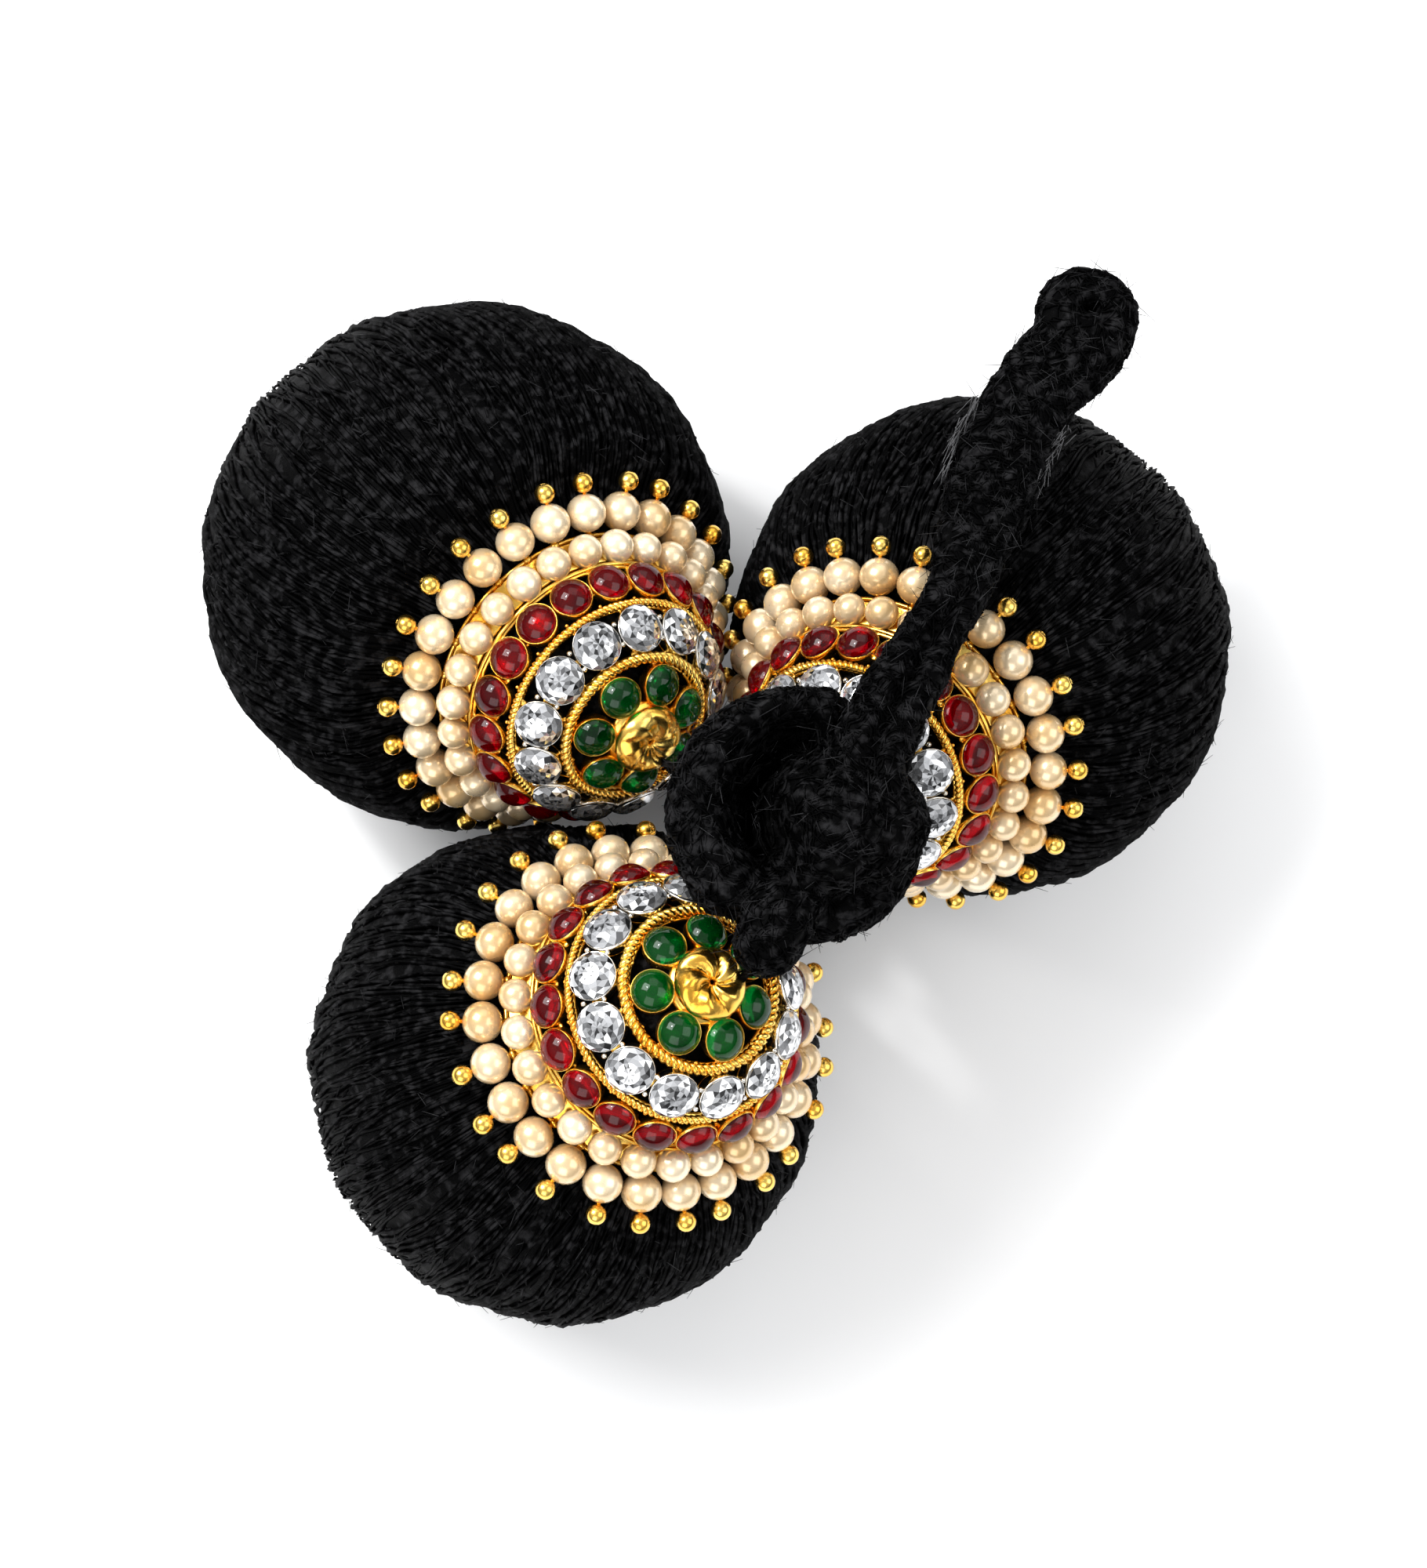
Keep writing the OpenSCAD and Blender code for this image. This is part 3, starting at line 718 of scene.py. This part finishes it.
def brilliant():
    """A round cut stone: a table with its rings of crown facets, a thin girdle and the pavilion."""
    n = FACET_N
    points = [[0, 0, TABLE_H]]
    for r, z, shift in CUT_RINGS:
        for k in range(n):
            t = (k + shift) * TAU / n
            points.append([r * math.cos(t), r * math.sin(t), z])
    points.append([0, 0, POINT_H])
    tris = [(0, 1 + k, 1 + (k + 1) % n) for k in range(n)]
    for level, (ring, ring_after) in enumerate(zip(CUT_RINGS, CUT_RINGS[1:])):
        low, high = 1 + level * n, 1 + (level + 1) * n
        for k in range(n):
            here, after = low + k, low + (k + 1) % n
            there, there_after = high + k, high + (k + 1) % n
            if ring_after[2] < ring[2]:
                tris += [(here, there_after, after), (here, there, there_after)]
            else:
                tris += [(here, there, after), (there, there_after, after)]
    base = 1 + (len(CUT_RINGS) - 1) * n
    tris += [(base + k, len(points) - 1, base + (k + 1) % n) for k in range(n)]
    return np.array(points), [np.array(tris)]


# Painted brightness of the facets, light ones as painted glints and dark ones as painted dark
# reflections, and how often each comes
FACET_GLINTS = [0.96, 0.84, 0.66, 0.44, 0.22, 0.05]
GLINT_SHARES = [0.2, 0.18, 0.17, 0.16, 0.15, 0.14]


def paint_facet_glints(piece, rng):
    """Paints each facet its own brightness at random: painted glints and painted dark reflections of cut
    glass over its foil.
    """
    glints = rng.choice(FACET_GLINTS, len(piece.data.polygons), p=GLINT_SHARES)
    layer = piece.data.color_attributes.new(FACET_GLINT, "FLOAT_COLOR", "CORNER")
    corners = np.repeat(glints, [len(p.vertices) for p in piece.data.polygons])
    colors = np.stack([corners * 0.97, corners * 0.98, corners, np.ones(len(corners))], 1)
    layer.data.foreach_set("color", colors.ravel())


# The cut stones' cups, as radius and height, and the claws between them: radius, how far
# each stands from the ring's middle in degrees, and its height above the dome
CUT_CUP = [(2.0, -0.3), (2.2, -0.3), (2.3, 0.7), (2.29, 0.95), (2.24, 0.85), (2.08, 0.6)]
CLAW_R, CLAW_LEAN, CLAW_LIFT = 0.27, 4.2, 0.8


def dress_stones(place, rng):
    """The stones of one cap, with the cups and claws of the cut ones."""
    side = place.side
    rows = (
        ("green", green_glass, GREEN_ANGLE, GREEN_N, place.greens),
        ("red", red_glass, RED_ANGLE, RED_N, place.reds),
    )
    for word, glass, angle, n, turn in rows:
        form = Form()
        on_rows(place, form, cabochon(), angle, n, turn, DOME_R + STONE_LIFT)
        form.build(f"cap_{side}_{word}", glass, f"{word}_stone", [f"cap_{side}_{word}_stones"])
    form = Form()
    spins = rng.uniform(0, 30, WHITE_N)
    on_rows(place, form, brilliant(), WHITE_ANGLE, WHITE_N, place.whites, DOME_R + CUT_LIFT, spins)
    cut = form.build(f"cap_{side}_white", crystal, "white_stone", [f"cap_{side}_white_stones"], flat=True)
    paint_facet_glints(cut, rng)
    form = Form()
    cup = lathe(CUT_CUP, SETTING_SIDES, loop=True)
    on_rows(place, form, cup, WHITE_ANGLE, WHITE_N, place.whites, DOME_R)
    between = place.whites + 180 / WHITE_N
    for angle in (WHITE_ANGLE - CLAW_LEAN, WHITE_ANGLE + CLAW_LEAN):
        on_rows(place, form, bead(CLAW_R, 9, 6), angle, WHITE_N, between, DOME_R + CLAW_LIFT)
    form.build(f"cap_{side}_claws", silver, "white_stone")


# The spacer under a drilled pearl: how flat it is, and how far it stands below the pearl
SPACER_FLAT, SPACER_DROP = 0.8, 0.3
# How the pearls vary: share of the full radius, and how flat they are
INNER_SIZES, INNER_FLATS = (0.96, 1.02), (0.96, 1.0)
OUTER_SIZES, OUTER_FLATS = (0.96, 1.0), (0.95, 1.0)
# How far an inner pearl stands out of its row, and the room between a drilled pearl and its end bead
INNER_STRAY, BEAD_ROOM = 0.06, (-0.08, 0.16)


def end_bead(middle):
    """A pin's round end bead, with a small dimple at its tip."""
    profile = [(0, middle - END_BEAD_R)]
    for a in np.radians(np.linspace(160, 18, 11)):
        profile.append((END_BEAD_R * math.sin(a), middle + END_BEAD_R * math.cos(a)))
    profile += [(0.22, middle + 0.8), (0, middle + 0.74)]
    return lathe(profile, 16)


def dress_pearls(place, rng):
    """The two rows of pearls of one cap, and the wire, pins, spacers and end beads of the outer row."""
    side = place.side
    inner, outer, pins = Form(), Form(), Form()
    wire_r, wire_z = RIM_WIRE
    corners = ((-1, 0), (0, -1), (1, 0), (0, 1))
    wire = lathe([(wire_r + RIM_WIRE_R * x, wire_z + RIM_WIRE_R * z) for x, z in corners], 96, loop=True)
    pins.add(place.from_seat(wire[0]), wire[1])
    row_r, row_z = OUTER_ROW
    reach = math.hypot(row_r - wire_r, row_z - wire_z)
    dip = math.degrees(math.atan2(wire_z - row_z, row_r - wire_r))
    for k in range(PEARL_N):
        r = INNER_PEARL_R * rng.uniform(*INNER_SIZES)
        points, faces = bead(r, 20, 12, rng.uniform(*INNER_FLATS))
        points = points @ turn_y(rng.uniform(0, 180)).T @ turn_z(k * 360 / PEARL_N).T
        stray = rng.uniform(-INNER_STRAY, INNER_STRAY)
        centre = toward(90, k * 360 / PEARL_N) * (INNER_ROW[0] + stray)
        inner.add(place.from_seat(points + centre + np.array([0, 0, INNER_ROW[1]])), faces)

        swing = turn_z((k + 0.5) * 360 / PEARL_N)
        tilt = swing @ turn_y(dip) @ turn_z(rng.uniform(-PIN_SWAY, PIN_SWAY)) @ turn_y(90)
        hub = swing @ np.array([row_r, 0, row_z])
        r = OUTER_PEARL_R * rng.uniform(*OUTER_SIZES)
        drilled = bead(r, 22, 12, rng.uniform(*OUTER_FLATS))
        out = r + END_BEAD_R + rng.uniform(*BEAD_ROOM)
        tip = out - PIN_ENTRY
        shank = lathe([(0, -reach), (PIN_R, -reach), (PIN_R, tip), (0, tip)], 8)
        points, faces = bead(SPACER_R, 12, 8, SPACER_FLAT)
        spacer = (points - np.array([0, 0, r + SPACER_DROP]), faces)
        parts = ((outer, drilled), (pins, shank), (pins, end_bead(out)), (pins, spacer))
        for form, (points, faces) in parts:
            form.add(place.from_seat(points @ tilt.T + hub), faces)
    inner.build(f"cap_{side}_inner_row", pearl, "pearl", [f"cap_{side}_inner_pearls"])
    outer.build(f"cap_{side}_outer_row", pearl, "pearl", [f"cap_{side}_outer_pearls"])
    pins.build(f"cap_{side}_gold_pins", gold, "gold", [f"cap_{side}_pins"])


# Knot and strap

# A stem's thin root: heights above the cap's seat where it starts, leaves the neck and comes out
# of the finial, how far it leans to the low side there, and its radius at each of its columns
ROOT_HEIGHTS, ROOT_LEANS = (12.6, 13.4, 14.1), (1.2, 3.0, 0.3)
ROOT_R = (0.5, 0.5, 0.6, 0.8, 1.0)
# Round windings inside the knot: middle and radius
KNOT_LUMPS = [((8.9, -15.5, 61.2), 6.4), ((13.0, -15.4, 59.8), 5.2)]
# The full right side of the strap where it runs into its head: x, y, z and radius
STRAP_FULL = [
    (31.6, 28.4, 46.8, 2.1), (33.6, 31.2, 45.4, 2.6), (35.6, 34.0, 44.2, 2.75), (37.0, 36.2, 43.4, 2.5),
]
# Grooves and rolls on the windings: points of x and y, depth (raised below 0) and width
KNOT_LINES = [
    ([(14.5, -9.5), (10.5, -10.5), (7.5, -12.0)], 0.6, 0.8),
    ([(16.5, -19.5), (12.5, -21.6), (8.5, -21.8), (5.0, -20.0)], 0.6, 0.8),
    ([(6.6, -7.6), (4.2, -9.0), (2.8, -11.6), (2.9, -14.8), (4.0, -17.4)], 4.6, 2.1),
    ([(7.6, -5.4), (3.0, -6.2), (-0.9, -8.8), (-2.6, -13.0), (-1.9, -17.4), (0.6, -20.6)], -0.9, 1.4),
]
STRAP_LINES = [
    ([(12.8, -11.0), (14.6, -6.0), (17.0, -1.5), (19.4, 3.2), (21.6, 6.9)], 1.1, 0.75),
    ([(20.5, 15.5), (23.0, 15.2), (26.0, 16.6)], 0.6, 0.8),
]
# Radius of a hair, pale as a painted highlight of lit fibres, at its root and tip, and the lines that
# they follow: points of x, y and z, and how many hairs
HIGHLIGHT_HAIR_R = (0.05, 0.03)
HIGHLIGHT_HAIR_LINES = [
    ([(32.2, 25.0, 49.0), (30.9, 22.6, 50.0), (29.6, 20.0, 51.0), (28.4, 16.8, 52.2)], 60),
    ([(24.0, 28.6, 49.6), (22.4, 25.0, 51.0), (20.8, 21.0, 52.6), (19.6, 17.0, 54.0)], 50),
]
# The windings' skin: grid step, rounds of softening, and how high its waves stand
SKIN_STEP, SKIN_ROUNDS, SKIN_WAVE = 0.5, 6, 0.2
# Matted fibres: how many, points in each, length, radius, height above the skin, and how they curl
FIBRE_N, FIBRE_STEPS, FIBRE_L, FIBRE_R, FIBRE_LIFT, FIBRE_CURL = 2200, 6, 3.2, 0.13, 0.14, 0.35
# Loose hairs: how many and how long, and how steeply they stand
FUZZ_N, FUZZ_L, FUZZ_STAND = 500, 2.0, (0.1, 0.6)
# Darkest that a groove gets, and how fast it darkens with depth
SHADE_MOST, SHADE_PER_MM = 0.9, 0.35


def smooth_rows(rows, steps):
    """A smooth curve through rows of numbers."""
    u = np.linspace(0, len(rows) - 1, steps)
    k = np.minimum(u.astype(int), len(rows) - 2)
    t = (u - k)[:, None]
    a, b = rows[np.maximum(k - 1, 0)], rows[k]
    c, d = rows[k + 1], rows[np.minimum(k + 2, len(rows) - 1)]
    square = 2 * a - 5 * b + 4 * c - d
    cube = 3 * b - a - 3 * c + d
    return 0.5 * (2 * b + (c - a) * t + square * t ** 2 + cube * t ** 3)


def cord(rows, steps):
    """A round cord through rows of x, y, z and radius, from the middle of the part."""
    curve = smooth_rows(np.array(rows, float), steps)
    out = np.broadcast_to(np.array([1.0, 0.3, 0.2]), (1, steps, 3))
    return tubes(curve[None, :, :3] + PLAN, curve[None, :, 3], out, 12)


def stem_forms(place):
    """A stem: a thin cord out of the finial's low side, and the thick round end that it runs into."""
    thick = np.array(STEMS[place.side])
    end = thick[0, :3]
    axis = place.turn[:, 2]
    low = unit(axis * axis[2] - np.array([0, 0, 1.0]))
    foot, neck, mouth = (place.from_seat(np.array([0, 0, h])) - PLAN for h in ROOT_HEIGHTS)
    neck_lean, side_lean, middle_lean = ROOT_LEANS
    side = mouth + side_lean * low
    middle = 0.5 * (side + end) + middle_lean * low
    spots = (foot, neck + neck_lean * low, side, middle, end)
    thin = [(*spot, r) for spot, r in zip(spots, ROOT_R)]
    ball = bead(thick[0, 3], 24, 14)
    return [cord(thin, 20), cord(thick, 12), (ball[0] + end + PLAN, ball[1])]


def remeshed(node, extras):
    """One closed skin over a solid and the extra forms, as points, normals and faces in millimetres."""
    mesh = bpy.data.meshes.new("skin")
    points, faces = [], []
    for form_points, groups in extras:
        start = len(points)
        points += (form_points * MM).tolist()
        for group in groups:
            faces += [tuple(i + start for i in face) for face in group.tolist()]
    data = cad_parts[node].data
    start = len(points)
    points += [tuple(v.co) for v in data.vertices]
    faces += [tuple(i + start for i in p.vertices) for p in data.polygons]
    mesh.from_pydata(points, [], faces)
    skin = bpy.data.objects.new("skin", mesh)
    bpy.context.scene.collection.objects.link(skin)
    remesh = skin.modifiers.new("remesh", "REMESH")
    remesh.mode = "VOXEL"
    remesh.voxel_size = SKIN_STEP * MM
    soften = skin.modifiers.new("soften", "SMOOTH")
    soften.factor = 0.5
    soften.iterations = SKIN_ROUNDS
    done = bpy.data.meshes.new_from_object(skin.evaluated_get(bpy.context.evaluated_depsgraph_get()))
    bpy.data.objects.remove(skin)
    place = np.array([v.co for v in done.vertices]) / MM
    normal = np.array([v.normal for v in done.vertices])
    polygons = [tuple(p.vertices) for p in done.polygons]
    bpy.data.meshes.remove(done)
    return place, normal, polygons


def matted(points, polygons, rng):
    """Fibres that lie on a skin in all directions and follow its form."""
    count, steps = FIBRE_N, FIBRE_STEPS
    tree = BVHTree.FromPolygons([Vector(p) for p in points], polygons)
    corners = np.array([p[:3] for p in polygons])
    a, b, c = points[corners[:, 0]], points[corners[:, 1]], points[corners[:, 2]]
    area = np.linalg.norm(np.cross(b - a, c - a), axis=1)
    picked = rng.choice(len(corners), count, p=area / area.sum())
    starts = a[picked] + rng.uniform(0, 1, (count, 1)) * (c[picked] - a[picked])
    paths = np.zeros((count, steps, 3))
    outs = np.zeros((count, steps, 3))
    for k in range(count):
        spot = Vector(starts[k])
        way = Vector(rng.normal(size=3))
        stride = FIBRE_L * rng.uniform(0.6, 1.4) / steps
        curl = rng.normal(0, FIBRE_CURL)
        for s in range(steps):
            near, normal, _, _ = tree.find_nearest(spot)
            height = FIBRE_LIFT * (0.4 + 0.6 * math.sin(math.pi * s / (steps - 1)))
            paths[k, s] = near + normal * height
            outs[k, s] = normal
            way = way - normal * way.dot(normal)
            way.normalize()
            way = way + normal.cross(way) * curl
            spot = near + way * stride
    swell = 0.75 + 0.25 * np.sin(np.linspace(0.3, math.pi - 0.3, steps))
    radii = FIBRE_R * swell * rng.uniform(0.7, 1.3, (count, 1))
    return tubes(paths, radii, outs, 3)


def loose_hairs(points, normals, rng):
    """Short hairs that stand off a skin."""
    count, steps = FUZZ_N, HAIR_STEPS
    picked = rng.choice(len(points), count)
    s = np.linspace(0, 1, steps)[:, None]
    n = normals[picked][:, None, :]
    sideways = unit(np.cross(n, rng.normal(size=(count, 1, 3))))
    reach = FUZZ_L * rng.uniform(0.4, 1.3, (count, 1, 1))
    stand = rng.uniform(*FUZZ_STAND, (count, 1, 1))
    paths = points[picked][:, None, :] + n * stand * reach * s + sideways * reach * s
    return tubes(paths, np.linspace(*HAIR_R, steps), np.cross(sideways, n), 3)


def near_line(points, line, width):
    """How near points lie to a line seen from above, from 1 on the line towards 0 beyond its width."""
    path = smooth_rows(np.array(line, float) + PLAN[:2], 60)
    off = np.linalg.norm(points[:, None, :2] - path[None], axis=2).min(1)
    return np.exp(-(off / width) ** 2)


def grooved(points, normals, lines):
    """Presses grooves into the upper side of a skin, or raises rolls on it."""
    upper = smooth(normals[:, 2] * 1.6)
    for line, depth, width in lines:
        pressed = depth * near_line(points, line, width) * upper
        points = points - pressed[:, None] * np.array([0, 0, 1.0])
    return points


def groove_shade(piece, lines):
    """Shades a piece by the depth of its grooves, as light is lost between windings."""
    points = np.array([v.co for v in piece.data.vertices]) / MM
    shade = np.zeros(len(points))
    for line, depth, width in lines:
        if depth > 0:
            most = min(SHADE_MOST, SHADE_PER_MM * depth)
            shade = np.maximum(shade, most * near_line(points, line, 1.15 * width))
    layer = piece.data.attributes.new(GROOVE_SHADE, "FLOAT", "POINT")
    layer.data.foreach_set("value", shade)


def dress_cords(name, nodes, extras, lines, seed):
    """Wound wool in place of the nodes: a skin over the first, with grooves, fibres and loose hairs."""
    rng = np.random.default_rng(seed)
    points, normals, polygons = remeshed(nodes[0], extras)
    points = grooved(points, normals, lines)
    x, y, z = points.T
    wave = np.sin(x * 2.1 + 1.3 * np.sin(y * 1.7)) * np.sin(y * 1.9 + z * 2.3)
    points = points + normals * (SKIN_WAVE * wave - SKIN_WAVE / 2)[:, None]
    form = Form()
    form.points.append(points)
    form.faces.extend(polygons)
    form.count = len(points)
    form.add(*matted(points, polygons, rng))
    groove_shade(form.build(name, wool, "wool", nodes), lines)
    Form().add(*loose_hairs(points, normals, rng)).build(name + "_fuzz", fuzz, "wool")


def highlight_hair_lines(rng):
    """Loose hairs along the strap's edges, pale as a painted highlight of lit fibres."""
    form = Form()
    steps, path_n = 6, 80
    t = np.linspace(0, 1, steps)
    for line, count in HIGHLIGHT_HAIR_LINES:
        path = smooth_rows(np.array(line, float) + PLAN, path_n)
        start = rng.integers(0, 60, count)
        run = rng.uniform(8, 16, (count, 1)) * t
        along = np.minimum(start[:, None] + run, path_n - 1).astype(int)
        drift = rng.normal(0, 0.3, (count, 1, 3)) + rng.normal(0, 0.35, (count, 1, 3)) * t[:, None]
        out = np.broadcast_to(np.array([0.0, 0.0, 1.0]), (count, steps, 3))
        form.add(*tubes(path[along] + drift, np.linspace(*HIGHLIGHT_HAIR_R, steps), out, 3))
    form.build("highlight_hairs", pale, "wool")


# Camera, floor and light

VIEW_ELEVATION = 78.0
VIEW_DISTANCE = 450.0
FOCAL_PX = 5490.0
PHOTO_H = 2000.0
SENSOR_H = 36.0
# Nearest that the camera sees, in metres
CLIP_START = 0.01
# How far the camera stands off the middle, to the right and up
CENTRE_OFFSET = (-1.23, 0.98)
# Half the side of the floor, in metres
FLOOR_HALF = 3.0
# The room's light from the horizon up: height and colour of each stop, and its strength
ROOM_STOPS = [(0.05, (0.16, 0.165, 0.18, 1)), (0.6, (0.9, 0.91, 0.93, 1))]
ROOM_STRENGTH = 0.66
# Soft square lights: name, place and side in metres, and power
LIGHTS = [
    ("key", (-0.48, 0.29, 0.77), 0.52, 8.0),
    ("spark", (-0.38, 0.26, 0.8), 0.07, 2.2),
    ("right_wall", (0.7, -0.1, 0.7), 0.7, 3.4),
    ("back_wall", (0.1, 0.7, 0.75), 0.7, 1.6),
    ("front_wall", (-0.25, -0.75, 0.6), 0.7, 3.8),
]


def add_camera():
    """The photo's camera, fitted to the balls and the caps."""
    e = math.radians(VIEW_ELEVATION)
    back = np.array([0, -math.cos(e), math.sin(e)])
    up = np.array([0, math.sin(e), math.cos(e)])
    right = np.array([1.0, 0, 0])
    spot = PLAN + back * VIEW_DISTANCE + right * CENTRE_OFFSET[0] + up * CENTRE_OFFSET[1]
    data = bpy.data.cameras.new("camera")
    data.sensor_fit = "VERTICAL"
    data.sensor_height = SENSOR_H
    data.lens = FOCAL_PX / PHOTO_H * data.sensor_height
    data.clip_start = CLIP_START
    camera = bpy.data.objects.new("camera", data)
    camera.location = Vector(spot * MM)
    camera.rotation_euler = (math.radians(90 - VIEW_ELEVATION), 0, 0)
    bpy.context.scene.collection.objects.link(camera)
    bpy.context.scene.camera = camera


def add_floor():
    """A plain pale floor."""
    mesh = bpy.data.meshes.new("floor")
    corners = [(x * FLOOR_HALF, y * FLOOR_HALF, 0) for x, y in ((-1, -1), (1, -1), (1, 1), (-1, 1))]
    mesh.from_pydata(corners, [], [(0, 1, 2, 3)])
    material = shader("paper", (0.94, 0.94, 0.94), Roughness=0.9)
    vary_color(material, noise_at(material, 3.0), (0.92, 0.92, 0.92), (0.96, 0.96, 0.96))
    mesh.materials.append(material)
    floor = bpy.data.objects.new("floor", mesh)
    bpy.context.scene.collection.objects.link(floor)


def add_light(name, spot, size, watts):
    """A square light that faces the middle of the floor."""
    data = bpy.data.lights.new(name, "AREA")
    data.size = size
    data.energy = watts
    lamp = bpy.data.objects.new(name, data)
    lamp.location = spot
    lamp.rotation_euler = (-Vector(spot)).to_track_quat("-Z", "Y").to_euler()
    bpy.context.scene.collection.objects.link(lamp)


def add_lights():
    """A studio room, bright above and darker at its walls, with a soft key light from the upper left."""
    world = bpy.data.worlds.new("room")
    world.use_nodes = True
    nodes, links = world.node_tree.nodes, world.node_tree.links
    ways = nodes.new("ShaderNodeTexCoord")
    parts = nodes.new("ShaderNodeSeparateXYZ")
    ramp = nodes.new("ShaderNodeValToRGB")
    for stop, (height, color) in zip(ramp.color_ramp.elements, ROOM_STOPS):
        stop.position = height
        stop.color = color
    links.new(ways.outputs["Generated"], parts.inputs["Vector"])
    links.new(parts.outputs["Z"], ramp.inputs["Fac"])
    links.new(ramp.outputs["Color"], nodes["Background"].inputs["Color"])
    nodes["Background"].inputs["Strength"].default_value = ROOM_STRENGTH
    bpy.context.scene.world = world
    for light in LIGHTS:
        add_light(*light)
    bpy.context.scene.view_settings.view_transform = "Standard"


# Seeds of the random draws. Each ball and cap adds its own number.
BALL_SEED, CAP_SEED, KNOT_SEED, STRAP_SEED, HIGHLIGHT_HAIR_SEED = 11, 31, 51, 52, 61

add_camera()
add_floor()
add_lights()
for number, word in enumerate(BALLS):
    here = Place(word)
    dress_ball(here, BALL_SEED + number)
    cap_rng = np.random.default_rng(CAP_SEED + number)
    dress_gold(here, cap_rng)
    dress_stones(here, cap_rng)
    dress_pearls(here, cap_rng)
wound = [form for word in BALLS for form in stem_forms(Place(word))]
for middle, r in KNOT_LUMPS:
    lump = bead(r, 40, 20)
    wound.append((lump[0] + PLAN + middle, lump[1]))
knot_nodes = ["knot", "stem_left", "stem_right", "stem_front"]
dress_cords("knot_wool", knot_nodes, wound, KNOT_LINES, KNOT_SEED)
dress_cords("strap_wool", ["strap"], [cord(STRAP_FULL, 16)], STRAP_LINES, STRAP_SEED)
highlight_hair_lines(np.random.default_rng(HIGHLIGHT_HAIR_SEED))

bpy.context.view_layer.update()
